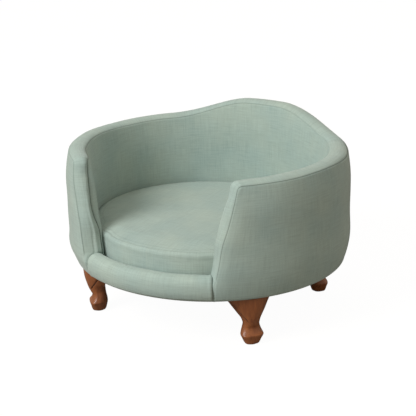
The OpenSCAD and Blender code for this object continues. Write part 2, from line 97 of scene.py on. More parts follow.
def arm_rise(z):
    """0 up to the height of the front rail, 1 at the top of the arms."""
    return np.clip((z - FRONT_H) / (ARM_H - FRONT_H), 0, 1)


def edge_angle(z):
    """Angle from the middle of the front to an arm's edge."""
    return np.arcsin(mix(OPENING_LOW, OPENING_TOP, arm_rise(z)) / (2 * HALF_W))


def from_front(phi):
    """Angle from the middle of the front, alike on both sides."""
    return np.minimum(phi, 2 * np.pi - phi)


def hand(phi):
    """1 on the right half of the body, -1 on the left."""
    return np.where(phi <= np.pi, 1, -1)


EDGE_LOW, EDGE_TOP = float(edge_angle(0.0)), float(edge_angle(ARM_H))
WRAP, LEAN_REACH, BOW_REACH = 0.005, 0.36, 0.25
OUTER_START, INNER_START = EDGE_TOP + WRAP / HALF_W, EDGE_TOP


def wall_angle(phi, z):
    """The oval's angle for a line of the cloth: lines lean with the arm's edge, then stand up."""
    side = from_front(phi)
    side = side - (EDGE_TOP - edge_angle(z)) * fall((side - EDGE_TOP) / LEAN_REACH)
    return np.where(phi <= np.pi, side, 2 * np.pi - side) - np.pi / 2


def from_edge(phi, z):
    """Distance along the wall from the nearer arm edge."""
    return (from_front(wall_angle(phi, z) + np.pi / 2) - edge_angle(z)) * HALF_W


def from_seam(phi, z, start):
    """Distance along the wall from the seam that runs up the nearer arm front."""
    return np.maximum(0, from_edge(phi, z) - from_edge(start + 0 * phi, z))


def full_top(phi):
    """Height of the top edge: level along the arms, with a hump in the middle of the back."""
    x, y, _, _ = rim(wall_angle(phi, ARM_H), WALL_IN / 2)
    hump = smooth((HUMP_W / 2 - np.abs(x - HUMP_AT)) / (HUMP_W - HUMP_FLAT) * 2)
    drop = BACK_DROP * smooth((y - BACK_FROM) / BACK_BLEND)
    return ARM_H + np.where(y > 0, HUMP_H * hump, 0) - drop


print("the hump rises to", round(float(full_top(np.array(np.pi))), 4))

# %% [markdown]
# A sewn piece is never quite even, and the eye knows it. These few functions say where this one
# departs from its plain rule: the seams of the arm fronts are bowed, the left one is pulled tight,
# the right end is a little fuller at its top, and the arms change where they meet the front rail.

# %% Where the sewing is uneven
BOW_TOP, BOW_WAIST, BOW_FOOT, LOW_RIGHT = 0.0024, 0.0042, 0.0045, 0.0045


def outer_angle(phi, z):
    """As wall_angle, but the lines near an arm front follow its outer seam, which is bowed."""
    bow = BOW_TOP * smooth(arm_rise(z) / 0.55) - BOW_WAIST * bell(arm_rise(z), 0.36, 0.16)
    bow = bow - BOW_FOOT * (1 - smooth((z - 0.158) / 0.018))
    near = fall((from_front(phi) - OUTER_START) / BOW_REACH)
    return wall_angle(phi, z) + hand(phi) * bow / HALF_W * near


def taut(phi):
    """1 where a seam's dip and painted shade show fully, less on the left arm, where it is pulled
    tight and lies smooth.
    """
    return 1 - 0.6 * smooth((phi - 4.5) / 0.5)


def plain_to_see(phi):
    """How plainly the inner top seam's dip and painted shade show: it is pressed flat along the right
    half of the top.
    """
    return mix(0.35, 1, smooth((phi - 2.6) / 1.2))


def right_end(phi):
    """1 at the right end of the body, where the padding is a little fuller at the top."""
    return bell(phi, 2.1, 0.45)


def over_rail(z):
    """1 on the arm fronts over the front rail, 0 where an arm meets the rail's end."""
    return smooth((z - 0.171) / 0.010)


def seam_top(phi, start):
    """Height of the top seams, rounded off where they turn down the arm fronts."""
    s = np.clip(from_seam(phi, ARM_H + 0 * phi, start), 0, CORNER_R)
    rounded = CORNER_R - np.sqrt(np.maximum(0, CORNER_R**2 - (CORNER_R - s) ** 2))
    low = LOW_RIGHT * right_end(phi) if start == OUTER_START else 0
    return full_top(phi) - low - rounded


print("the outer seam is lowered by", LOW_RIGHT, "at the right end")

# %% [markdown]
# Cloth over padding is never quite even. A few long sine waves with fixed phases make the slow
# swells, and short ones that fade away from a seam make its puckers. At the seam itself the cloth
# dives into a groove, with a low ridge beside it where the seam allowance lies underneath.

# %% Helpers for soft surfaces
SWELLS = (0.23, 0.17, 0.13, 0.11, 0.09, 0.07)
PUCKERS = (0.031, 0.023, 0.019, 0.014, 0.011)
RIDGE_AT, RIDGE_W, PUCKER_H, PUCKER_REACH, SHADE_W = 0.0085, 0.0045, 0.0003, 0.013, 0.0012


def waves(u, v, lengths, seed):
    """A sum of sine waves over two lengths, about -1 to 1."""
    rng = np.random.default_rng(seed)
    total = 0
    for length in lengths:
        turn, phase = rng.uniform(0, np.pi), rng.uniform(0, 2 * np.pi)
        total = total + np.sin(2 * np.pi * (u * np.cos(turn) + v * np.sin(turn)) / length + phase)
    return total / len(lengths)


def seam_dip(d, along, seed, depth=0.0018, width=0.0015, ridge=0.0006):
    """How far cloth lies under its own surface at distance d from a seam."""
    pucker = PUCKER_H * waves(along, along * 0, PUCKERS, seed) * bell(d, 0, PUCKER_REACH)
    return depth * bell(d, 0, width) - ridge * bell(d, RIDGE_AT, RIDGE_W) + pucker


def seam_shade(d):
    """1 in the thin shadow of a seam, 0 on the open cloth."""
    return bell(d, 0, SHADE_W)


def placed(name, data):
    """A new object of the scene for a mesh, a lamp or a camera."""
    made = bpy.data.objects.new(name, data)
    bpy.context.scene.collection.objects.link(made)
    return made


def shaded_smooth(mesh):
    mesh.polygons.foreach_set("use_smooth", np.ones(len(mesh.polygons), bool))
    return mesh


def grid_object(name, points, uv, closed=False, shade=None):
    """A mesh from rows of points, with the cloth's own flat lengths as its UV map."""
    rows, cols = points.shape[:2]
    across = cols if closed else cols - 1
    r, c = np.meshgrid(np.arange(rows - 1), np.arange(across), indexing="ij")
    c1 = (c + 1) % cols
    faces = np.stack([r * cols + c, r * cols + c1, (r + 1) * cols + c1, (r + 1) * cols + c], -1)
    faces = faces.reshape(-1, 4)
    mesh = bpy.data.meshes.new(name)
    mesh.from_pydata(points.reshape(-1, 3).tolist(), [], faces.tolist())
    flat = uv.reshape(-1, 2)[faces]
    if closed:
        last = (c == cols - 1).reshape(-1)
        flat[last, 1:3, 0] += uv[0, -1, 0] + uv[0, 1, 0] - 2 * uv[0, 0, 0]
    layer = mesh.uv_layers.new(name="cloth")
    layer.data.foreach_set("uv", flat.reshape(-1).astype(np.float32))
    if shade is not None:
        mark = mesh.attributes.new("seam_shade", "FLOAT", "POINT")
        mark.data.foreach_set("value", shade.reshape(-1).astype(np.float32))
    return placed(name, shaded_smooth(mesh))


def thicken(piece, thickness):
    """Cloth with a real thickness, on the side away from its face."""
    solid = piece.modifiers.new("thickness", "SOLIDIFY")
    solid.thickness, solid.offset, solid.use_even_offset = thickness, -1, False
    return piece


def spread(reach, total, fine, coarse):
    """Places from 0 to 1 along a length, fine steps at both ends that grow coarse over the reach."""
    places, here = [0.0], 0.0
    while here < total:
        near = min(here, total - here)
        here += mix(fine, coarse, min(1, near / reach))
        places.append(min(here, total))
    return np.array(places) / total


print("a seam's shadow is", SHADE_W, "wide to each side")

# %% [markdown]
# The linen is a plain weave with slubs: thicker bits of yarn that show as short pale and dark
# streaks, some across and some up. The UV map holds real lengths, so a wave every 1.1 mm is a
# thread. The streaks are noise squeezed hard one way. Threads and slubs also drive the bump.
# A seam's thin shadow is an attribute of the mesh, and darkens the colour where it is 1.

# %% Helpers for materials
WHITE = (1, 1, 1)


def node_material(name):
    material = bpy.data.materials.new(name)
    material.use_nodes = True
    tree = material.node_tree
    return material, tree, tree.nodes["Principled BSDF"]


def link(tree, value, socket):
    """Sets a number or a colour on a socket, or joins another node's output to it."""
    if isinstance(value, tuple):
        socket.default_value = (*value, 1)
    elif isinstance(value, (int, float)):
        socket.default_value = value
    else:
        tree.links.new(value, socket)


def fill_in(node, values):
    """Sets several sockets by their labels."""
    for label, value in values.items():
        node.inputs[label].default_value = value


def coordinates(tree, kind):
    return tree.nodes.new("ShaderNodeTexCoord").outputs[kind]


def maths(tree, operation, a, b=0.5):
    node = tree.nodes.new("ShaderNodeMath")
    node.operation = operation
    link(tree, a, node.inputs[0])
    link(tree, b, node.inputs[1])
    return node.outputs[0]


def noise(tree, vector, scale, detail=2.0, squeeze=(1, 1, 1), rough=0.5):
    """Noise from 0 to 1, drawn out along an axis whose squeeze is small."""
    mapping = tree.nodes.new("ShaderNodeMapping")
    mapping.inputs["Scale"].default_value = squeeze
    link(tree, vector, mapping.inputs["Vector"])
    texture = tree.nodes.new("ShaderNodeTexNoise")
    fill_in(texture, {"Scale": scale, "Detail": detail, "Roughness": rough})
    link(tree, mapping.outputs[0], texture.inputs["Vector"])
    return texture.outputs["Fac"]


def ramp(tree, value, stops):
    node = tree.nodes.new("ShaderNodeValToRGB")
    while len(node.color_ramp.elements) < len(stops):
        node.color_ramp.elements.new(0.5)
    for element, (place, colour) in zip(node.color_ramp.elements, stops):
        element.position = place
        element.color = (*colour, 1)
    link(tree, value, node.inputs["Fac"])
    return node.outputs["Color"]


def mixed(tree, factor, a, b, way="MIX"):
    node = tree.nodes.new("ShaderNodeMix")
    node.data_type, node.blend_type = "RGBA", way
    for label, value in (("Factor", factor), ("A", a), ("B", b)):
        link(tree, value, node.inputs[label])
    return node.outputs["Result"]


def tinted(tree, colour, value, stops):
    """A colour multiplied by the tones of a ramp."""
    return mixed(tree, 1.0, colour, ramp(tree, value, stops), "MULTIPLY")


def seam_mark(tree):
    """The thin shadows that a mesh carries as its seam_shade attribute."""
    node = tree.nodes.new("ShaderNodeAttribute")
    node.attribute_name = "seam_shade"
    return node.outputs["Fac"]


def relief(tree, shader, height, strength, distance):
    """Fine bumps in the shading."""
    node = tree.nodes.new("ShaderNodeBump")
    fill_in(node, {"Strength": strength, "Distance": distance})
    link(tree, height, node.inputs["Height"])
    link(tree, node.outputs[0], shader.inputs["Normal"])


# %% Materials: linen
SAGE = (0.357, 0.447, 0.410)
THREAD, SLUB_DARK, SLUB_PALE, SLUB_ROUGH = 0.0011, 0.80, 1.15, 0.62


def linen(name, colour):
    material, tree, shader = node_material(name)
    flat = coordinates(tree, "UV")
    split = tree.nodes.new("ShaderNodeSeparateXYZ")
    link(tree, flat, split.inputs[0])
    warp, weft = (maths(tree, "SINE", maths(tree, "MULTIPLY", split.outputs[n], 2 * math.pi / THREAD))
                  for n in (0, 1))
    weave = maths(tree, "MULTIPLY", warp, weft)
    across = noise(tree, flat, 1, 3, (20, 400, 1), SLUB_ROUGH)
    upright = noise(tree, flat, 1, 3, (420, 18, 1), SLUB_ROUGH)
    dark, pale = (tuple(c * f for c in colour) for f in (SLUB_DARK, SLUB_PALE))
    cloth = mixed(tree, 0.5, ramp(tree, across, [(0.30, dark), (0.50, colour), (0.72, pale)]),
                  ramp(tree, upright, [(0.30, dark), (0.50, colour), (0.74, pale)]))
    cloth = tinted(tree, cloth, noise(tree, flat, 9, 3),
                   [(0.35, (0.92, 0.95, 0.96)), (0.65, (1.04, 1.02, 0.99))])
    threads = maths(tree, "ADD", maths(tree, "MULTIPLY", weave, 0.5), 0.5)
    cloth = tinted(tree, cloth, threads, [(0.0, (0.93,) * 3), (1.0, (1.05,) * 3)])
    cloth = tinted(tree, cloth, seam_mark(tree), [(0.0, WHITE), (1.0, (0.36, 0.36, 0.34))])
    link(tree, cloth, shader.inputs["Base Color"])
    slubs = maths(tree, "ADD", maths(tree, "MULTIPLY", across, 1.1),
                  maths(tree, "MULTIPLY", upright, 0.9))
    relief(tree, shader, maths(tree, "ADD", maths(tree, "MULTIPLY", weave, 0.35), slubs), 0.35, 0.0006)
    fill_in(shader, {"Roughness": 0.92, "Specular IOR Level": 0.2, "Sheen Weight": 0.18,
                     "Sheen Roughness": 0.5})
    return material


sage_linen = linen("sage_linen", SAGE)
print("materials:", sage_linen.name)

# %% [markdown]
# The outer cover runs from a hem turned under the base, up the drawn-in lower side, over the
# widest part and in again to the top seam. A rule gives it, so it is a grid of points: one
# direction goes round the wall, the other up it, close together where a seam or the hem needs it.

# %% The outer cover
FINE, ROUND_STEP, ROW_STEP = 0.0008, 0.0055, 0.006
MOST_SOFT, SHOULDER, TUCK_REACH, HEM_CURVE, HEM_RISE = 0.0009, 0.55, 0.038, 2.6, 0.0082
FULL_LEFT, FLAT_RIGHT, FLAT_RIGHT_MIDDLE = 0.0045, 0.0018, 0.0035
HEM_TURN = ((0.0400, 0.1195), (0.0310, 0.1194), (0.0240, 0.1195),
            (0.0206, 0.1205), (0.0178, 0.1222), (0.0154, 0.1245))
HEM_LENGTHS = np.array([-0.026, -0.016, -0.0075, -0.005, -0.0026, 0.0])


def round_the_wall(start):
    """Angles round the wall, close together near both arm fronts."""
    turn = 2 * np.pi - 2 * start
    return start + spread(0.05, turn * HALF_W, FINE, ROUND_STEP) * turn


def outer_inset(phi, z):
    """How far the outer cloth lies inside the oval."""
    top = full_top(phi)
    shoulder = mix(BULGE_H, top, SHOULDER)
    over = np.clip((z - shoulder) / (top - shoulder), 0, 1)
    under = np.clip((BULGE_H - z) / (BULGE_H - HEM_Z), 0, 1)
    near = fall(from_edge(phi, z) / TUCK_REACH)
    tuck = EDGE_TUCK * smooth((z - HEM_Z) / (FRONT_H - HEM_Z)) * near * (1 - over)
    tuck = tuck * (1 - (phi > np.pi) * smooth((0.174 - z) / 0.020))
    fuller = FULL_LEFT * bell(phi, 5.2, 0.5) * bell(z, 0.164, 0.020)
    fuller = fuller - mix(FLAT_RIGHT, FLAT_RIGHT_MIDDLE, bell(z, 0.24, 0.05)) * right_end(phi)
    return HEM_IN * under**HEM_CURVE + SEAM_IN * over**2 * (1 - 0.45 * right_end(phi)) + tuck - fuller


def outer_point(phi, z, top):
    """A point of the outer cloth, with its swells and the dips of its seams."""
    s = from_seam(phi, z, OUTER_START)
    soft = MOST_SOFT * waves(s, z, SWELLS, 3) * smooth((z - HEM_Z) / 0.03)
    arm_dip = seam_dip(s, z, 12) * mix(0.5, 1, over_rail(z))
    dip = np.maximum(seam_dip(top - z, s, 11), arm_dip) * taut(phi)
    x, y, _, _ = rim(outer_angle(phi, z), outer_inset(phi, z) + 0.0004 + dip - soft)
    return np.stack([x, y, z], -1)


outer_places, inner_places = round_the_wall(OUTER_START), round_the_wall(INNER_START)
phi, v = np.meshgrid(outer_places, spread(0.05, 0.27, FINE, ROW_STEP))
top = seam_top(phi, OUTER_START)
z = mix(HEM_Z + HEM_RISE, top, v)
arm_line = seam_shade(from_seam(phi, z, OUTER_START)) * over_rail(z)
shade = np.maximum(seam_shade(top - z), arm_line) * taut(phi)
hem_rows = []
for inset, height in HEM_TURN:
    x, y, _, _ = rim(outer_angle(outer_places, outer_places * 0 + HEM_Z), inset)
    hem_rows.append(np.stack([x, y, x * 0 + height], -1))
face = np.concatenate([np.array(hem_rows), outer_point(phi, z, top)])
shade = np.concatenate([np.repeat(shade[:1], len(hem_rows), 0), shade])
hem_up = np.repeat(HEM_LENGTHS[:, None], len(outer_places), 1)
up = np.concatenate([hem_up, z - HEM_Z - 0.004])
around = np.repeat((outer_places * HALF_W)[None], len(up), 0)
outer_cover = grid_object("outer_cover_cloth", face, np.stack([around, up], -1), shade=shade)
thicken(outer_cover, CLOTH_T).data.materials.append(sage_linen)
print("outer cover:", face.shape)

# %% [markdown]
# The inner cover faces the cushion. Near the arm fronts its padding swells from the narrow strip
# to the full wall, and near the top it rolls over towards the strip of cloth on the edge.

# %% The inner cover
ROLL, ROLL_BACK, ROLL_IN = 0.0080, 0.034, 0.0030
INNER_BOW, INNER_BOW_LOW = 0.0075, 0.0045


def inner_inset(phi, z):
    """How far the inner cloth lies inside the oval."""
    near_top = smooth((z - full_top(phi) + 0.05) / 0.05)
    along = ease_out(from_edge(phi, z) / mix(0.060, 0.038, near_top))
    full = mix(SEAM_IN + BAND_W, WALL_IN, ease_out((full_top(phi) - z) / 0.090))
    return mix(EDGE_TUCK + STRIP_W, full, along)


def seam_bow(z):
    """How far the inner seam of an arm front is pulled outwards between seat and top."""
    pulled = INNER_BOW * np.sin(np.pi * np.clip((z - 0.175) / (ARM_H - 0.165), 0, 1)) ** 0.8
    low = INNER_BOW_LOW * smooth((0.265 - z) / 0.05) * smooth((z - 0.168) / 0.01)
    return pulled * smooth((z - 0.215) / 0.07) - low


def inner_point(phi, z, top):
    """A point of the inner cloth, with its swells, its seams' dips and the roll by the arm front."""
    s = from_seam(phi, z, INNER_START)
    soft = MOST_SOFT * waves(s, z, SWELLS, 5)
    dip = np.maximum(seam_dip(top - z, s, 13) * plain_to_see(phi), seam_dip(s, z, 14, ridge=0.0))
    rolled = bell(s, 0.014, 0.010) * smooth((z - 0.20) / 0.03) * smooth((top - z) / 0.04)
    pull = seam_bow(z) * np.exp(-((s / 0.010) ** 1.5))
    roll = ROLL * np.sin(np.pi * np.clip(s / ROLL_BACK, 0, 1)) ** 0.9 * smooth((top - z) / 0.02)
    x, y, _, _ = rim(wall_angle(phi, z) - hand(phi) * roll / HALF_W,
                     inner_inset(phi, z) - dip + soft - pull + ROLL_IN * rolled)
    return np.stack([x, y, z], -1)


phi, v = np.meshgrid(inner_places, spread(0.04, 0.24, FINE, ROW_STEP))
top = seam_top(phi, INNER_START)
z = mix(SEAT_Z + 0.0004, top, v)
face = inner_point(phi, z, top)
top_line = 0.75 * plain_to_see(phi) * seam_shade(top - z)
shade = np.maximum(top_line, seam_shade(from_seam(phi, z, INNER_START)))
around = np.repeat((inner_places * HALF_W)[None], len(z), 0)
inner_cover = grid_object("inner_cover_cloth", face[:, ::-1], np.stack([-around, z], -1)[:, ::-1],
                          shade=shade[:, ::-1])
thicken(inner_cover, CLOTH_T).data.materials.append(sage_linen)
print("inner cover:", face.shape)

# %% [markdown]
# One long strip of cloth closes the edge: up the right arm front, along the top and down the left
# arm. It is a loft: at each step a crowned arc joins the outer seam to the inner one, and the arc
# bulges forwards on the arms, upwards on top, and turns from one to the other at the corners.

# %% The path of the edge strip
STRIP_FOOT = HEM_Z + 0.002
ARC = np.sin(np.linspace(-np.pi / 2, np.pi / 2, 45)) / 2 + 0.5
ARM_STEPS, CORNER_STEPS, TOP_STEPS, CORNER_FROM = 110, 12, 420, 0.10


def heading(t, side):
    """Level direction along the wall, out of the arm's front."""
    return np.array(Vector((HALF_W * math.sin(t), -HALF_D * math.cos(t), 0)).normalized() * side)


def arm_end(side):
    """Steps up an arm front: outer seam, inner seam, the way the strip faces, how much it wraps."""
    outer_at, inner_at = (np.array([start if side > 0 else 2 * np.pi - start])
                          for start in (OUTER_START, INNER_START))
    high, steps = np.array([ARM_H + 1.0]), []
    for height in np.linspace(STRIP_FOOT, ARM_H - CORNER_R, ARM_STEPS):
        z = np.array([height])
        out = heading(float(wall_angle(inner_at, z)[0]), side)
        steps.append((outer_point(outer_at, z, high)[0], inner_point(inner_at, z, high)[0], out, 1.0))
    return steps


def along_top():
    """Steps round both corners and along the top."""
    corner = np.linspace(CORNER_FROM, np.pi / 2, CORNER_STEPS)
    turns = np.concatenate([corner, np.full(TOP_STEPS - 2, np.pi / 2), corner[::-1]])
    seams = []
    for start, point in ((OUTER_START, outer_point), (INNER_START, inner_point)):
        bend = start + CORNER_R / HALF_W * (1 - np.cos(corner))
        middle = np.linspace(bend[-1], 2 * np.pi - bend[-1], TOP_STEPS)[1:-1]
        phi = np.concatenate([bend, middle, 2 * np.pi - bend[::-1]])
        top = seam_top(phi, start)
        seams.append(point(phi, top, top))
    steps = []
    for a, b, p, turn in zip(*seams, phi, turns):
        ahead = heading(float(wall_angle(p, ARM_H)), 1 if p < np.pi else -1)
        out = ahead * math.cos(turn) + np.array((0, 0, math.sin(turn)))
        steps.append((a, b, out, math.cos(turn)))
    return steps


path = arm_end(1) + along_top() + arm_end(-1)[::-1]
middles = np.array([(a + b) / 2 for a, b, _, _ in path])
lengths = np.concatenate([[0], np.cumsum(np.linalg.norm(np.diff(middles, axis=0), axis=1))])
print("the strip is", round(float(lengths[-1]), 3), "long")

# %% [markdown]
# Across the strip each arc is a smooth curve from seam to seam. The lower half of each arm front
# has a few slanting creases, there is a dimple under the corner, and puckers run along both seams.

# %% The edge strip
CREASES = ((-0.0012, 0.50, 0.050), (0.0009, 0.62, 0.060), (-0.0009, 0.80, 0.035))
STRIP_SWELLS = (0.19, 0.12, 0.083, 0.061)
DIMPLE, TOP_ROLL, STRIP_SOFT, STRIP_PUCKER, STRIP_DIP = 0.0016, 0.0006, 0.0006, 0.0005, 0.0014


def hermite(f, a, b, start, end):
    """A curve from a to b that sets out along start and arrives along end."""
    return ((2 * f**3 - 3 * f**2 + 1) * a + (f**3 - 2 * f**2 + f) * start
            + (-2 * f**3 + 3 * f**2) * b + (f**3 - f**2) * end)


def phi_of(point):
    return math.atan2(point[0] / HALF_W, -point[1] / HALF_D) % (2 * np.pi)


def strip_section(a, b, out, wrap):
    """A smooth arc of cloth from one seam to the other, fuller where it wraps an arm's corner."""
    chord, free, rise = b - a, float(over_rail(a[2])), float(arm_rise(a[2]))
    full = 0.44 + 0.50 * smooth((rise - 0.1) / 0.3) - 0.34 * smooth((rise - 0.55) / 0.4)
    on_arm = out * mix(0.030, 0.036 * full, free) + chord * mix(0.05, 1.05, free)
    arm_back = -out * 0.065 * full * free + chord * mix(0.9, 0.55, free)
    crown = 0.026 + 0.010 * bell(phi_of(a), 2.5, 0.5)
    start = mix(out * crown + chord * 0.9, on_arm, wrap)
    end = mix(-out * crown + chord * 0.9, arm_back, wrap)
    return hermite(ARC[:, None], a, b, start, end)


across = ARC * STRIP_W
ends = np.minimum(across, STRIP_W - across)
points, marks = [], []
for length, (a, b, out, wrap) in zip(lengths, path):
    height, free, here = a[2], float(over_rail(a[2])), length + 0 * ARC
    slant = 0.25 * (height - 0.25)
    crease = sum(size * bell(ARC, at + slant, wide) for size, at, wide in CREASES)
    crease = crease * wrap * smooth((0.335 - height) / 0.12)
    dimple = -DIMPLE * wrap * bell(height, 0.357, 0.012) * smooth((ARC - 0.3) / 0.3)
    top_roll = TOP_ROLL * bell(height, 0.380, 0.008) * (wrap > 0)
    swell = STRIP_SOFT * waves(here, across, STRIP_SWELLS, 21)
    pucker = STRIP_PUCKER * waves(here, across * 0.3, PUCKERS, 23) * bell(ends, 0, 0.010)
    # show scales each seam's dip and its painted shade: the outer one is weaker on the left arm, the
    # inner one along the right of the top, and both fade out beside the front rail.
    left = float(smooth((-a[0] - 0.15) / 0.08) * smooth((0.12 - a[1]) / 0.12))
    inner_show = mix(float(plain_to_see(phi_of(a))), 1, wrap)
    show = np.where(across < STRIP_W / 2, 1 - 0.6 * left, inner_show) * free
    marks.append(seam_shade(ends) * show)
    push = ((crease + swell + pucker) * free + dimple + top_roll) * smooth(ends / 0.008)
    push = push - STRIP_DIP * bell(ends, 0, 0.0015) * show
    points.append(strip_section(a, b, out, wrap) + out * push[:, None])
points = np.array(points)
uv = np.stack(np.broadcast_arrays(lengths[:, None], across[None]), -1)
edge_strip = grid_object("edge_strip_cloth", points[::-1], uv[::-1], shade=np.array(marks)[::-1])
thicken(edge_strip, CLOTH_T).data.materials.append(sage_linen)
print("edge strip:", points.shape)

# %% [markdown]
# The front rail is a low padded roll between the arms. Its cloth comes from under the base, over
# the roll and down behind the cushion. At each arm it is pleated and pushed into the joint.

# %% The front rail's cover
UNDER_ARM, CREST_UP, CREST_BACK_UP, CREST_BACK = 0.008, 0.030, 0.014, 0.015
ROUNDNESS, RAIL_DIP, PUSHED_IN, RAIL_SOFT = 0.78, 0.0014, 0.0030, 0.0008
PLEAT_AT, PLEAT_UP, PLEAT_DOWN = 0.0095, 0.0008, 0.0006


def rail_profile():
    """Insets and heights: turned hem, drawn-in front, rounded crest and the way down behind it."""
    front, back, crest = FRONT_H - CREST_UP, FRONT_H - CREST_BACK_UP, LIP_IN - CREST_BACK
    out = HEM_IN * ((BULGE_H - front) / (BULGE_H - HEM_Z)) ** HEM_CURVE
    rows = list(HEM_TURN)
    rows += [(mix(out, HEM_IN, ((front - h) / (front - HEM_Z)) ** 2), h)
             for h in np.linspace(HEM_Z + HEM_RISE, front - 0.002, 12)]
    rows += [(crest - (crest - out) * math.cos(a) ** ROUNDNESS,
              front + CREST_UP * math.sin(a) ** ROUNDNESS)
             for a in np.linspace(0, 1, 24) ** 1.25 * np.pi / 2]
    rows += [(crest + CREST_BACK * math.sin(a), back + CREST_BACK_UP * math.cos(a))
             for a in np.linspace(0, np.pi / 2, 12)[1:]]
    rows += [(LIP_IN, h) for h in np.linspace(back - 0.003, SEAT_Z, 4)]
    return np.array(rows)


profile = rail_profile()
down = np.concatenate([[0], np.cumsum(np.hypot(*np.diff(profile, axis=0).T))])
tangent = np.gradient(profile, axis=0)
tangent /= np.hypot(tangent[:, 0], tangent[:, 1])[:, None]
inward = np.stack([tangent[:, 1], -tangent[:, 0]], -1)
rail_length = 2 * (EDGE_LOW * HALF_W + UNDER_ARM)
rail_places = 2 * spread(0.045, rail_length, 0.0012, 0.005) - 1
t, row = np.meshgrid(-np.pi / 2 + rail_length / (2 * HALF_W) * rail_places, np.arange(len(profile)))
inset, height = profile[row, 0], profile[row, 1]
d_end = (EDGE_LOW - np.abs(t + np.pi / 2)) * HALF_W
along = (t + np.pi / 2) * HALF_W
upper = smooth((height - 0.135) / 0.03)
# shown scales the pleat, the dip and the painted shade in the joint at each arm; all are faint at the
# left arm.
shown = mix(0.2, 1, smooth(along / 0.02))
pleat_at = PLEAT_AT - 0.004 * (1 - upper)
at_end = np.maximum(d_end, 0)
depth = seam_dip(at_end, height, 31, depth=RAIL_DIP, width=0.0013, ridge=0.0) * shown
depth += PUSHED_IN * smooth(-d_end / 0.003)
depth -= PLEAT_UP * shown * upper * bell(d_end, 0.6 * pleat_at, 0.0028)
depth += PLEAT_DOWN * shown * upper * bell(d_end, pleat_at + 0.0015, 0.0013)
depth -= RAIL_SOFT * waves(along, down[row], SWELLS, 33)
inset = inset + inward[row, 0] * depth
height = height + inward[row, 1] * depth * (height > 0.122)
x, y, _, _ = rim(t, inset)
rail_cover = grid_object("front_rail_cloth", np.stack([x, y, height], -1),
                         np.stack([along, down[row]], -1), shade=0.7 * shown * seam_shade(at_end))
thicken(rail_cover, CLOTH_T).data.materials.append(sage_linen)
print("front rail cover:", len(rail_cover.data.polygons), "faces")

# %% [markdown]
# The cushion is a box cushion: a top and a bottom panel joined by a band of cloth that runs round
# the side, over foam. It is cut to the seat, so its outline is the inner wall's oval, a little
# smaller. A profile from the middle of the top, over the edge and under to the middle of the
# bottom is carried round that outline; the upper seam shows as a raised edge between two grooves.
# Its top is tilted a little towards the back, and has sunk at its right rear corner.

# %% The cushion's outline and profile
CUSHION_Z, CUSHION_T, CUSHION_CROWN, FLAT_CROWN = 0.1489, 0.069, 0.0105, 0.003
CUSHION_GAP, CORNER, NEAR_W, CUSHION_COUNT = 0.002, 0.010, 0.0125, 432
GAP_LEFT, GAP_RIGHT, GAP_REACH, SIDE_IN = 0.0085, 0.0050, 0.035, 0.0012
ZIP_HALF, ZIP_RECESS, ZIP_TOP = math.radians(38), 0.006, 0.1934
# How dark the painted shade lines are along the topstitch on top and just under the upper seam.
STITCH_IN, STITCH_SHADE, SEAM_DOWN, SEAM_LINE_SHADE = 0.0070, 0.18, 0.0022, 0.32
TILT, SUNK, CUSHION_PUCKER = 0.013, 0.0105, 0.0005
CUSHION_TOP, LOW_CORNER = CUSHION_Z + CUSHION_T, CORNER * 0.7


def cushion_outline():
    """Angles round the cushion, and how far its side lies inside the body's oval."""
    phi = np.linspace(0, 2 * np.pi, CUSHION_COUNT, endpoint=False)
    from_corner = from_front(phi) - edge_angle(SEAT_Z)
    wall = inner_inset(phi, np.full_like(phi, SEAT_Z)) + CUSHION_GAP
    front = LIP_IN + CUSHION_GAP
    inset = np.where(from_corner < 0, front, np.maximum(front, wall))
    gap = np.where(phi > np.pi, GAP_LEFT, GAP_RIGHT)
    inset = inset + gap * bell(from_corner * HALF_W, 0, GAP_REACH)
    soft = sum(np.roll(inset, shift) for shift in range(-4, 5)) / 9
    return phi, np.maximum(inset, soft)


def cushion_profile():
    """Rows from the middle of the top, over the seam, down the side and under to the middle."""
    parts = {
        "top": (1 - np.linspace(0, 1, 40) ** 1.2)[::-1][1:-1],
        "near": np.arange(0.0005, NEAR_W, 0.0006)[::-1],
        "corner": np.linspace(np.pi / 2, 0, 19),
        "side": np.linspace(CUSHION_TOP - CORNER, CUSHION_Z + LOW_CORNER, 17)[1:],
        "under": np.linspace(0, np.pi / 2, 9)[1:],
        "bottom": np.linspace(1, 0, 16)[1:-1],
    }
    return [(kind, value) for kind, values in parts.items() for value in values]


CUSHION_ROWS = cushion_profile()


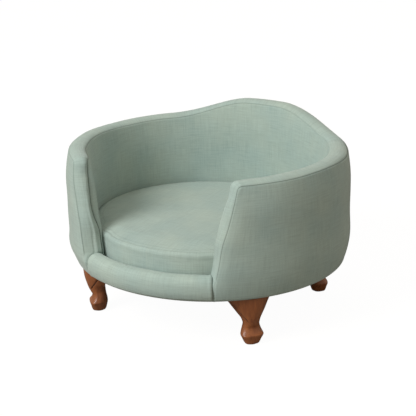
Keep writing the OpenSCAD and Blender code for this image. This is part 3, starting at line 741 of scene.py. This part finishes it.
def cushion_points(crown):
    """Points, flat lengths and seam shadows of the whole cushion, row by row."""
    phi, inset = cushion_outline()
    t, zero = phi - np.pi / 2, 0 * phi
    perimeter = np.concatenate([[0], np.cumsum(np.hypot(*(np.diff(rim(t, inset)[:2], axis=1))))])
    zone = smooth((ZIP_HALF + math.radians(14) - np.abs(phi - np.pi)) / math.radians(8))
    pucker, low_pucker = (CUSHION_PUCKER * waves(perimeter, zero, PUCKERS, seed) for seed in (41, 42))
    swell = waves(perimeter, zero, (0.31, 0.21, 0.14), 43)
    points, flat, marks, last, length = [], [], [], None, 0.0
    for kind, value in CUSHION_ROWS:
        mark = 0
        if kind in ("top", "near"):
            if kind == "near":
                x, y, _, _ = rim(t, inset + CORNER + value)
                r, d = 1 - value / np.hypot(x, y), value + zero
            else:
                x, y, _, _ = rim(t, inset + CORNER + NEAR_W)
                x, y, r = x * value, y * value, value * 0.95
                d = (1 - r) * 0.25 + zero
            soft = 0.0012 * waves(x, y, (0.21, 0.16, 0.13, 0.10), 44)
            height = CUSHION_TOP + crown * (1 - r**2.6) + soft * (1 - r**6)
            height = height - 0.0003 * bell(d, STITCH_IN, 0.0010) + pucker * bell(d, 0, 0.016)
            mark = STITCH_SHADE * seam_shade(d - STITCH_IN)
        elif kind == "corner":
            arc = CORNER * (np.pi / 2 - value)
            reach = CORNER + 0.0003 * math.sin(np.pi * arc / (CORNER * np.pi / 2))
            reach = reach - 0.0007 * bell(arc, SEAM_DOWN, 0.0011)
            x, y, _, _ = rim(t, inset + CORNER - reach * math.cos(value) + 0.6 * pucker)
            height = CUSHION_TOP - CORNER + reach * math.sin(value) + pucker
            mark = SEAM_LINE_SHADE * seam_shade(arc - SEAM_DOWN)
        elif kind == "side":
            f = (value - CUSHION_Z) / CUSHION_T
            bulge = 0.0014 * math.sin(np.pi * f) ** 0.8 + 0.0003 * swell
            dip = pucker * bell((1 - f) * CUSHION_T, CORNER, 0.012)
            dip = dip + low_pucker * bell(f * CUSHION_T, 0.004, 0.012)
            channel = ZIP_RECESS * zone * smooth((0.135 - abs(f - 0.5)) / 0.05)
            x, y, _, _ = rim(t, inset + SIDE_IN * smooth((0.9 - f) / 0.1) - bulge + dip + channel)
            height = value + zero
        elif kind == "under":
            x, y, _, _ = rim(t, inset + SIDE_IN + LOW_CORNER * (1 - math.cos(value)))
            height = CUSHION_Z + LOW_CORNER * (1 - math.sin(value)) + zero
        else:
            x, y, _, _ = rim(t, inset + SIDE_IN + LOW_CORNER)
            x, y, height = x * value, y * value, CUSHION_Z + zero
        share = np.clip((height - ZIP_TOP) / (CUSHION_TOP - ZIP_TOP), 0, 1)
        sunk = SUNK * smooth((x + 0.06) / 0.18) * smooth((y - 0.02) / 0.2)
        ring = np.stack([x, y, height - share * (TILT * y + sunk)], -1)
        if last is not None:
            length += float(np.median(np.linalg.norm(ring - last, axis=1)))
        last = ring
        points.append(ring)
        marks.append(mark + zero)
        flat_panel = kind in ("top", "near", "bottom")
        flat.append(np.stack([x, y] if flat_panel else [perimeter, zero - length], -1))
    return np.array(points), np.array(flat), np.array(marks)


print("cushion rows:", len(CUSHION_ROWS))

# %% [markdown]
# The foam presses the top panel up into a crown. A short cloth simulation gives its form: the
# closed cushion, remeshed evenly, is put under pressure, and how far each spot of the top rises is
# read off and given to the fine mesh, which keeps its seams.

# %% The cushion
VOXEL, PRESSURE, LAST_STEP, MOST_RISE, NEIGHBOURS = 0.006, 4, 20, 0.030, 9


def close_ends(piece):
    """A fan of faces over each open end of a ringed grid."""
    work = bmesh.new()
    work.from_mesh(piece.data)
    rims = [e for e in work.edges if e.is_boundary]
    bmesh.ops.holes_fill(work, edges=rims, sides=0)
    bmesh.ops.poke(work, faces=[f for f in work.faces if len(f.verts) > 4])
    bmesh.ops.recalc_face_normals(work, faces=work.faces)
    for f in work.faces:
        f.smooth = True
    work.to_mesh(piece.data)
    work.free()
    return piece


def worked_out(piece):
    """The piece with its modifiers worked out at the present moment."""
    return piece.evaluated_get(bpy.context.evaluated_depsgraph_get())


def blown_up(points):
    """How far the top rises when the cushion's cloth is put under pressure from inside."""
    hull = close_ends(grid_object("cushion_before", points[::-1], points[::-1, :, :2], closed=True))
    even = hull.modifiers.new("even", "REMESH")
    even.mode, even.voxel_size = "VOXEL", VOXEL
    mesh = bpy.data.meshes.new_from_object(worked_out(hull))
    bpy.data.objects.remove(hull)
    skin = placed("cushion_skin", mesh)
    cloth = skin.modifiers.new("cloth", "CLOTH")
    cloth.settings.quality, cloth.settings.mass = 4, 0.25
    cloth.settings.tension_stiffness = cloth.settings.compression_stiffness = 12
    cloth.settings.use_pressure, cloth.settings.uniform_pressure_force = True, PRESSURE
    cloth.settings.effector_weights.gravity = 0
    cloth.point_cache.frame_start, cloth.point_cache.frame_end = 1, LAST_STEP
    before = np.array([v.co for v in mesh.vertices])
    for step in range(1, LAST_STEP + 1):
        bpy.context.scene.frame_set(step)
    after = np.array([v.co for v in worked_out(skin).data.vertices])
    bpy.context.scene.frame_set(1)
    bpy.data.objects.remove(skin)
    upper = before[:, 2] > CUSHION_Z + 0.8 * CUSHION_T
    rise = (after - before)[upper, 2]
    tree = KDTree(len(rise))
    for n, place in enumerate(before[upper]):
        tree.insert(place, n)
    tree.balance()
    print("cloth rose", round(float(rise.max()) * 1000, 1), "mm at most")
    return tree, np.clip(rise, 0, MOST_RISE)


def lifted(points, tree, rise):
    """The top rows raised by what the blown-up cloth did, scaled to the cushion's own crown."""
    rows = sum(kind in ("top", "near") for kind, _ in CUSHION_ROWS)
    lift = np.zeros(points.shape[:2])
    for row in range(rows):
        for col in range(points.shape[1]):
            near = tree.find_n(points[row, col], NEIGHBOURS)
            weight = np.array([1 / (0.004 + d) for _, _, d in near])
            lift[row, col] = (weight * rise[[n for _, n, _ in near]]).sum() / weight.sum()
    fade = (np.arange(rows) / rows)[:, None] ** 8
    lift[:rows] = np.maximum(0, lift[:rows] - lift[rows - 1][None] * fade)
    lift *= (CUSHION_CROWN - FLAT_CROWN) / lift.max()
    raised = points.copy()
    raised[..., 2] += lift
    return raised


points, flat, shade = cushion_points(FLAT_CROWN)
points = lifted(points, *blown_up(points))
cushion = close_ends(grid_object("cushion_cloth", points[::-1], flat[::-1], closed=True,
                                 shade=shade[::-1]))
cushion.data.materials.append(sage_linen)
print("cushion:", points.shape, "top", round(float(points[..., 2].max()), 4))

# %% [markdown]
# The legs are short carved cabriole legs: a pad foot with a sharp ring, a thin ankle, and a knee
# whose ears sweep back under the body. A few measured sections up the leg are joined by smooth
# curves, which is how a carver reads a drawing of one. A fine groove follows each ear's edge.
# Each section gives its share of the height, then in millimetres: how far the nose reaches, half
# the width, how far it sweeps back, how far the rear reaches, and half its flat side.

# %% Legs
LEG_H, GLIDE_T = 0.118, 0.002
GROOVE_IN, GROOVE_W, GROOVE_D, GROOVE_FROM = 0.0195, 0.0017, 0.0026, 0.42
SECTIONS = np.array([
    [0.000, 16.0, 16.0, 0.0, 16.0, 2.0], [0.015, 16.9, 17.0, -0.4, 16.9, 2.0],
    [0.110, 19.8, 22.0, -3.0, 20.2, 2.0], [0.178, 21.9, 25.8, -6.0, 21.5, 1.2],
    [0.188, 21.9, 26.0, -6.0, 21.5, 1.0], [0.215, 19.2, 25.0, -4.8, 21.4, 1.6],
    [0.260, 16.2, 22.8, -1.8, 20.6, 2.0], [0.330, 14.5, 20.2, 0.0, 18.9, 2.0],
    [0.400, 18.2, 18.4, 0.0, 18.0, 2.0], [0.500, 23.2, 21.1, 3.6, 17.3, 2.4],
    [0.600, 26.7, 28.2, 10.9, 17.3, 2.8], [0.720, 30.2, 37.2, 18.5, 18.0, 3.4],
    [0.840, 32.1, 46.2, 27.0, 18.9, 4.0], [0.930, 32.8, 53.2, 31.3, 20.2, 4.4],
    [1.000, 33.0, 57.5, 33.0, 21.6, 4.6]])


def section_at(share):
    """Sections between the measured ones, by a cubic curve through them that never overshoots."""
    x, y = SECTIONS[:, 0], SECTIONS[:, 1:]
    slope = np.diff(y, axis=0) / np.diff(x)[:, None]
    m = np.zeros_like(y)
    a, b = slope[:-1], slope[1:]
    m[1:-1] = np.where(a * b > 0, 2 * a * b / np.where(a * b > 0, a + b, 1), 0)
    m[0], m[-1] = slope[0], slope[-1]
    k = np.clip(np.searchsorted(x, share, side="right") - 1, 0, len(x) - 2)
    h = (x[k + 1] - x[k])[:, None]
    return hermite((share - x[k])[:, None] / h, y[k], y[k + 1], h * m[k], h * m[k + 1])


def leg_rings():
    """Rings of points up a leg, their heights, and 1 where the groove's painted shade is."""
    shares = np.unique(np.concatenate([np.linspace(0, 1, 84), np.linspace(0.16, 0.23, 18)]))
    front, back = np.pi / 2 * np.linspace(0, 1, 34), np.pi / 2 * np.linspace(1, 0, 14)
    rings, marks = [], []
    for share, (nose, side, sweep, rear, edge) in zip(shares, section_at(shares) / 1000):
        x0, x1 = edge - sweep, -sweep - edge
        square = mix(0.72, 1.0, float(smooth((share - 0.12) / 0.2)))
        fx = x0 + (nose - x0) * np.cos(front) ** square
        fy = side * np.sin(front) ** square
        gap = np.concatenate([np.cumsum(np.hypot(np.diff(fx), np.diff(fy))[::-1])[::-1], [0]])
        groove = smooth((share - GROOVE_FROM) / 0.10) * bell(gap, GROOVE_IN, GROOVE_W)
        nx, ny = np.cos(front) * side, np.sin(front) * (nose - x0)
        cut = GROOVE_D * groove / np.hypot(nx, ny)
        half = list(zip(fx - cut * nx, fy - cut * ny))
        half += [(x1 + (-rear - x1) * math.cos(a), side * math.sin(a)) for a in back]
        rings.append(half + [(a, -b) for a, b in half[-2:0:-1]])
        dark = [*groove, *np.zeros(len(back))]
        marks.append(dark + dark[-2:0:-1])
    return np.array(rings), GLIDE_T + shares * (LEG_H - GLIDE_T), np.array(marks)


def carved_leg(name, x, y):
    """A leg that points outwards from the middle of the body."""
    rings, z, marks = leg_rings()
    turn = math.atan2(y, x)
    px = x + rings[..., 0] * math.cos(turn) - rings[..., 1] * math.sin(turn)
    py = y + rings[..., 0] * math.sin(turn) + rings[..., 1] * math.cos(turn)
    pz = np.broadcast_to(z[:, None], px.shape)
    around = np.broadcast_to(np.arange(px.shape[1]) / px.shape[1] * 0.16, px.shape)
    return close_ends(grid_object(name, np.stack([px, py, pz], -1), np.stack([around, pz], -1),
                                  closed=True, shade=marks))


LEG_PLACES = {"front": rim(math.radians(-43), 0.0572)[:2], "rear": rim(math.radians(40.5), 0.0682)[:2]}
legs = {f"leg_{end}_{side}": carved_leg(f"walnut_leg_{end}_{side}", sign * x, y)
        for end, (x, y) in LEG_PLACES.items() for side, sign in (("left", -1), ("right", 1))}
print("legs:", len(legs), "of", len(legs["leg_rear_left"].data.polygons), "faces")

# %% [markdown]
# Under the cushion and under the frame lie plain flat layers: wadding and a cloth on the board,
# and a thin black lining stapled over the hem below. Each is the same oval, moved in by its inset,
# with a rounded edge.

# %% Flat layers
DECK_INSET, DUST_INSET, LAYER_RINGS, LAYER_COUNT, INNERMOST = 0.0425, 0.0255, 14, 200, 0.06


def oval_layer(name, inset, low, high):
    t = np.linspace(0, 2 * np.pi, LAYER_COUNT, endpoint=False)
    edge = min(0.002, (high - low) * 0.45) * 0.4
    rows = [(low, r, edge if r == 1 else 0) for r in np.linspace(INNERMOST, 1, LAYER_RINGS)]
    rows += [((low + high) / 2, 1, 0)]
    rows += [(high, r, edge if r == 1 else 0) for r in np.linspace(1, INNERMOST, LAYER_RINGS)]
    points = []
    for height, r, further_in in rows:
        x, y, _, _ = rim(t, inset + further_in)
        points.append(np.stack([x * r, y * r, height + 0 * t], -1))
    points = np.array(points)
    return close_ends(grid_object(name, points, points[..., :2], closed=True))


deck_wadding = oval_layer("deck_wadding", DECK_INSET, 0.1356, 0.1474)
deck_cloth = oval_layer("deck_lining", DECK_INSET, 0.1476, 0.1486)
dust_lining = oval_layer("dust_lining", DUST_INSET, 0.1180, 0.1190)
print("flat layers made")

# %% [markdown]
# The zip runs in a shallow channel round the back of the cushion. The tape is a narrow bent strip;
# the coil's teeth repeat along it, so a small node tree sets one tooth on every step of an arc.

# %% The zip
ZIP_Y, ZIP_Z, TEETH_R, TEETH = -0.03689, 0.1834, 0.28759, 340
TAPE_R, TAPE_T, ZIP_ARC = 0.28679 + 0.0006, 0.0006, math.radians(35.808)
TAPE_HALF = ((0.006, 0), (0.0045, 0.0001), (0.003, 0.0003), (0.0022, 0.0007), (0.0004, 0.0009))


def zip_tape():
    """The tape's section, lower half, middle and upper half, carried round the arc."""
    a = np.linspace(np.pi / 2 - ZIP_ARC, np.pi / 2 + ZIP_ARC, 150)
    rows, uv = [], []
    section = [(-h, lift) for h, lift in TAPE_HALF] + [(0, 0.0006)] + list(TAPE_HALF[::-1])
    for h, lift in section:
        r = TAPE_R + lift * 0.3
        rows.append(np.stack([r * np.cos(a), ZIP_Y + r * np.sin(a), ZIP_Z + h + 0 * a], -1))
        uv.append(np.stack([a * r, h + 0 * a], -1))
    return thicken(grid_object("zip_tape_cloth", np.array(rows)[::-1], np.array(uv)[::-1]), TAPE_T)


def teeth_tree():
    """A tree of nodes that sets small teeth along an arc, and the names of its sockets."""
    tree = bpy.data.node_groups.new("zip teeth along an arc", "GeometryNodeTree")
    tree.interface.new_socket("Geometry", in_out="OUTPUT", socket_type="NodeSocketGeometry")
    sockets = {}
    for label, kind, value in (
            ("Count", "Int", TEETH), ("Radius", "Float", TEETH_R), ("Half angle", "Float", ZIP_ARC),
            ("Centre Y", "Float", ZIP_Y), ("Height", "Float", ZIP_Z), ("Reach", "Float", 0.0011),
            ("Material", "Material", None)):
        made = tree.interface.new_socket(label, in_out="INPUT", socket_type="NodeSocket" + kind)
        if value is not None:
            made.default_value = value
        sockets[label] = made.identifier
    given = tree.nodes.new("NodeGroupInput").outputs

    def node(kind, wires):
        """A node, with each named or numbered input joined to another node's output."""
        made = tree.nodes.new(kind)
        for label, value in wires.items():
            tree.links.new(value, made.inputs[label])
        return made

    index = tree.nodes.new("GeometryNodeInputIndex").outputs[0]
    share = maths(tree, "DIVIDE", index, maths(tree, "SUBTRACT", given["Count"], 1))
    angle = maths(tree, "SUBTRACT", maths(tree, "MULTIPLY", share, 2), 1)
    angle = maths(tree, "MULTIPLY", angle, given["Half angle"])
    x = maths(tree, "MULTIPLY", maths(tree, "SINE", angle), given["Radius"])
    y = maths(tree, "MULTIPLY", maths(tree, "COSINE", angle), given["Radius"])
    y = maths(tree, "ADD", y, given["Centre Y"])
    side = maths(tree, "MULTIPLY", maths(tree, "MODULO", index, 2), 2)
    rise = maths(tree, "MULTIPLY", maths(tree, "SUBTRACT", side, 1), given["Reach"])
    z = maths(tree, "ADD", rise, given["Height"])
    line = node("GeometryNodeMeshLine", {"Count": given["Count"]})
    place = node("ShaderNodeCombineXYZ", {0: x, 1: y, 2: z})
    put = node("GeometryNodeSetPosition", {"Geometry": line.outputs[0], "Position": place.outputs[0]})
    spots = node("GeometryNodeMeshToPoints", {0: put.outputs[0]})
    tooth = tree.nodes.new("GeometryNodeMeshUVSphere")
    fill_in(tooth, {"Segments": 8, "Rings": 5, "Radius": 1.0})
    shape = node("GeometryNodeTransform", {"Geometry": tooth.outputs[0]})
    shape.inputs["Scale"].default_value = (0.0007, 0.0008, 0.0014)
    turn = node("ShaderNodeCombineXYZ", {2: maths(tree, "MULTIPLY", angle, -1)})
    instances = node("GeometryNodeInstanceOnPoints", {
        "Points": spots.outputs[0], "Instance": shape.outputs[0], "Rotation": turn.outputs[0]})
    real = node("GeometryNodeRealizeInstances", {0: instances.outputs[0]})
    finished = node("GeometryNodeSetMaterial", {"Geometry": real.outputs[0],
                                                "Material": given["Material"]})
    node("NodeGroupOutput", {0: finished.outputs[0]})
    return tree, sockets


def grown(name, tree, sockets, values):
    """Runs a node tree once and keeps its result as a plain mesh."""
    host = placed(name + "_host", bpy.data.meshes.new(name + "_host"))
    modifier = host.modifiers.new("grow", "NODES")
    modifier.node_group = tree
    for label, value in values.items():
        modifier[sockets[label]] = value
    bpy.context.view_layer.update()
    mesh = bpy.data.meshes.new_from_object(worked_out(host))
    host.modifiers.remove(modifier)
    bpy.data.objects.remove(host)
    return placed(name, shaded_smooth(mesh))


def brushed(name, colour, rough):
    """Zinc plate: fine brush marks in its colour and its gloss."""
    material, tree, shader = node_material(name)
    fine = noise(tree, coordinates(tree, "Object"), 900, 3, (1, 1, 0.25))
    tone = ramp(tree, fine, [(0.3, tuple(c * 0.82 for c in colour)), (0.7, colour)])
    gloss = ramp(tree, fine, [(0.2, (rough * 0.7,) * 3), (0.8, (rough * 1.3,) * 3)])
    link(tree, tone, shader.inputs["Base Color"])
    link(tree, gloss, shader.inputs["Roughness"])
    shader.inputs["Metallic"].default_value = 1
    return material


zinc = brushed("zinc_steel", (0.60, 0.60, 0.62), 0.34)
zip_tape_piece = zip_tape()
tree, sockets = teeth_tree()
zip_teeth = grown("zip_teeth", tree, sockets, {"Count": TEETH, "Material": zinc})
print("zip teeth:", len(zip_teeth.data.polygons), "faces")

# %% [markdown]
# The slider is a small die-cast body with a bridge and a hanging pull. It replaces the plain block
# of the exact model, and stays inside that block's space.

# %% The zip's slider
SLIDER_R, SLIDER_L, SLIDER_W = 0.28949, 0.009, 0.008
slider_at = np.pi / 2 - ZIP_ARC + SLIDER_L / HALF_W
# Each bar: how far out and along it lies, its three sizes, and its bevel.
SLIDER_BARS = (
    (0.0004, 0, (0.0008, SLIDER_L, SLIDER_W * 0.62), 0.0003),
    (0.0004, -0.0015, (0.0008, SLIDER_L * 0.62, SLIDER_W), 0.0003),
    (0.0011, 0, (0.0009, 0.0052, 0.0024), 0.0004),
    (0.0004, 0.0125, (0.0008, 0.0158, 0.0034), 0.00035))


def on_slider(out, along):
    """A point at the zip's height, from the slider's middle outwards and along the zip."""
    r, c, s = SLIDER_R + out, math.cos(slider_at), math.sin(slider_at)
    return r * c - along * s, ZIP_Y + r * s + along * c, ZIP_Z


def rounded_bar(centre, size, bevel):
    work = bmesh.new()
    bmesh.ops.create_cube(work, size=1)
    bmesh.ops.scale(work, vec=size, verts=work.verts)
    bmesh.ops.bevel(work, geom=work.edges, offset=bevel, segments=3, affect="EDGES", profile=0.6)
    bmesh.ops.rotate(work, cent=(0, 0, 0), matrix=Matrix.Rotation(slider_at, 3, "Z"), verts=work.verts)
    bmesh.ops.translate(work, vec=centre, verts=work.verts)
    mesh = bpy.data.meshes.new("bar")
    work.to_mesh(mesh)
    work.free()
    return shaded_smooth(mesh)


def joined(name, meshes):
    work = bmesh.new()
    for mesh in meshes:
        work.from_mesh(mesh)
        bpy.data.meshes.remove(mesh)
    whole = bpy.data.meshes.new(name)
    work.to_mesh(whole)
    work.free()
    return placed(name, whole)


slider = joined("slider_metal", [rounded_bar(on_slider(out, along), size, bevel)
                                 for out, along, size, bevel in SLIDER_BARS])
slider.data.materials.append(zinc)
print("slider:", len(slider.data.polygons), "faces")

# %% [markdown]
# Plain finishes for the rest: stained walnut with a long grain and a satin coat on the legs, raw
# birch for the frame, hardboard for the bent panels, black lining, cream wadding and black plastic.

# %% Materials: woods, lining, plastic
# Painted shade: the seam_shade attribute darkens the legs' carved grooves by this factor.
GROOVE_SHADE_TONE = (0.16, 0.13, 0.12)


def wood(name, light, dark, grain, rough, coat=0.0):
    material, tree, shader = node_material(name)
    place = coordinates(tree, "Object")
    fibre = noise(tree, place, grain, 4, (1, 1, 0.06), 0.6)
    middle = tuple(mix(np.array(light), np.array(dark), 0.35))
    colour = ramp(tree, fibre, [(0.30, dark), (0.52, middle), (0.76, light)])
    colour = tinted(tree, colour, noise(tree, place, grain * 0.25, 2, (1, 1, 0.16)),
                    [(0.35, (0.88, 0.86, 0.84)), (0.65, (1.05, 1.04, 1.02))])
    colour = tinted(tree, colour, noise(tree, place, 9, 2),
                    [(0.4, (0.92, 0.90, 0.88)), (0.6, (1.05, 1.04, 1.02))])
    # Painted shade in seams and grooves, from the seam_shade attribute.
    colour = tinted(tree, colour, seam_mark(tree), [(0.0, WHITE), (1.0, GROOVE_SHADE_TONE)])
    link(tree, colour, shader.inputs["Base Color"])
    relief(tree, shader, fibre, 0.25, 0.0003)
    fill_in(shader, {"Roughness": rough, "Coat Weight": coat, "Coat Roughness": 0.25})
    return material


def plain_matt(name, colour, scale, depth, rough, contrast=0.12):
    material, tree, shader = node_material(name)
    fine = noise(tree, coordinates(tree, "Object"), scale, 4)
    low, high = (tuple(c * (1 + s * contrast) for c in colour) for s in (-1, 1))
    link(tree, ramp(tree, fine, [(0.3, low), (0.7, high)]), shader.inputs["Base Color"])
    relief(tree, shader, fine, 0.4, depth)
    shader.inputs["Roughness"].default_value = rough
    return material


walnut = wood("stained_walnut", (0.330, 0.114, 0.037), (0.205, 0.064, 0.021), 150, 0.42, 0.10)
birch = wood("raw_birch", (0.66, 0.50, 0.32), (0.47, 0.33, 0.19), 110, 0.7)
hardboard = plain_matt("bent_hardboard", (0.24, 0.15, 0.08), 420, 0.0002, 0.75, 0.2)
wadding = plain_matt("cream_wadding", (0.86, 0.83, 0.74), 160, 0.0012, 0.95)
black_lining = plain_matt("black_lining", (0.030, 0.030, 0.032), 1400, 0.0002, 0.9, 0.35)
glide_black = plain_matt("black_glide_plastic", (0.05, 0.05, 0.05), 700, 0.0001, 0.5, 0.15)
tape_linen = linen("zip_tape_weave", tuple(c * 0.9 for c in SAGE))
finishes = (
    (birch, ("base_board", "arm_post_left", "arm_post_right", "wall_ribs", "top_rail", "front_rail")),
    (hardboard, ("outer_panel", "inner_panel", "front_panel")),
    (zinc, ("dust_cover_staples", "leg_bolts", "tee_nuts")),
    (glide_black, ("foot_glides",)),
)
for material, names in finishes:
    for name in names:
        for material_slot in nodes[name].material_slots:
            material_slot.material = material
for piece, material in (*((leg, walnut) for leg in legs.values()), (deck_wadding, wadding),
                        (deck_cloth, black_lining), (dust_lining, black_lining),
                        (zip_tape_piece, tape_linen)):
    piece.data.materials.append(material)
print("finishes on", sum(len(names) for _, names in finishes), "frame nodes")

# %% [markdown]
# Each piece is now tied to the body it moves with, and the plain solids it stands for are hidden.

# %% Bodies, and the parts each piece replaces
covers = {
    outer_cover: ("outer_cover", "outer_padding"),
    inner_cover: ("inner_cover", "inner_padding"),
    edge_strip: ("edge_strip", "edge_padding"),
    rail_cover: ("front_rail_cover", "front_rail_padding"),
}
for piece, stood_for in covers.items():
    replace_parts(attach(piece, "sofa"), *stood_for)
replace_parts(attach(cushion, "cushion"), "cushion_foam", "cushion_top", "cushion_border",
            "cushion_bottom")
for node_name, piece in legs.items():
    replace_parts(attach(piece, "sofa"), node_name)
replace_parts(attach(deck_wadding, "sofa"), "deck_pad")
for piece, stood_for, inset, under in ((deck_cloth, "deck_cloth", DECK_INSET, "deck_wadding"),
                                       (dust_lining, "dust_cover", DUST_INSET, "base_board")):
    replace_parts(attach(piece, "sofa"), stood_for)
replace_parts(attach(zip_tape_piece, "cushion"), "cushion_zip")
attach(zip_teeth, "cushion")
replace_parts(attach(slider, "zip_slider"), "zip_slider")
print("pieces tied to their bodies")

# %% [markdown]
# The camera stands where the photograph was taken: right of the front, a little above. Its place
# and lens come from fitting the outline, the seams and the feet. A soft lamp shines from the upper
# left, as the lit top band and the darker right side show. A faint one hangs overhead, and the
# world lights the rest. What the camera sees of world and floor is white, but neither lights the
# object more for it.

# %% Camera, light and floor
TURN, RISE, TIP = math.radians(31.15), math.radians(19.31), math.radians(-1.73)
LOOK_AT, DISTANCE, LENS, SENSOR = Vector((-0.00319, 0.00072, 0.23049)), 3.2079, 116.84, 36
AMBIENT, AMBIENT_TONE, FLOOR_WHITE, FLOOR_GLOW = 0.50, (1.08, 1.0, 0.89), 0.80, 1.21
LAMPS_AT = Vector((0, 0, 0.2))


def photo_camera():
    back = Vector((math.sin(TURN) * math.cos(RISE), -math.cos(TURN) * math.cos(RISE), math.sin(RISE)))
    level = Vector((math.cos(TURN), math.sin(TURN), 0))
    upright = back.cross(level)
    right = level * math.cos(TIP) + upright * math.sin(TIP)
    up = upright * math.cos(TIP) - level * math.sin(TIP)
    lens = bpy.data.cameras.new("camera")
    lens.sensor_fit, lens.sensor_width, lens.lens = "HORIZONTAL", SENSOR, LENS
    made = placed("camera", lens)
    axes = Matrix((right, up, back)).transposed().to_4x4()
    made.matrix_world = Matrix.Translation(LOOK_AT + back * DISTANCE) @ axes
    bpy.context.scene.camera = made


def soft_lamp(name, place, size, watts, colour):
    """A round lamp that looks at the middle of the sofa."""
    data = bpy.data.lights.new(name, "AREA")
    data.shape, data.size, data.energy, data.color = "DISK", size, watts, colour
    aim = (Vector(place) - LAMPS_AT).to_track_quat("Z", "Y").to_matrix().to_4x4()
    placed(name, data).matrix_world = Matrix.Translation(place) @ aim


def camera_ray(tree):
    """1 for rays that look straight at the background."""
    return tree.nodes.new("ShaderNodeLightPath").outputs["Is Camera Ray"]


photo_camera()
soft_lamp("key_lamp", (-1.90, -4.66, 4.10), 3.0, 330, WHITE)
soft_lamp("sky_lamp", (0.2, 0.5, 3.5), 2.5, 7, (1.0, 0.97, 0.84))
world = bpy.data.worlds.new("white_room")
bpy.context.scene.world = world
world.use_nodes = True
tree = world.node_tree
warm = tuple(AMBIENT * c for c in AMBIENT_TONE)
link(tree, mixed(tree, camera_ray(tree), warm, WHITE), tree.nodes["Background"].inputs["Color"])

bpy.ops.mesh.primitive_plane_add(size=14, location=(0, 0, 0))
floor = bpy.context.object
floor.name = "floor"
pale, tree, shader = node_material("pale_floor")
fill_in(shader, {"Base Color": (0.25, 0.23, 0.20, 1), "Roughness": 0.9})
glow = tree.nodes.new("ShaderNodeEmission")
glow.inputs["Strength"].default_value = FLOOR_GLOW
either = tree.nodes.new("ShaderNodeMixShader")
link(tree, maths(tree, "MULTIPLY", camera_ray(tree), FLOOR_WHITE), either.inputs[0])
link(tree, shader.outputs[0], either.inputs[1])
link(tree, glow.outputs[0], either.inputs[2])
link(tree, either.outputs[0], tree.nodes["Material Output"].inputs["Surface"])
floor.data.materials.append(pale)
bpy.context.scene.view_settings.view_transform = "Standard"
print("camera and light set")
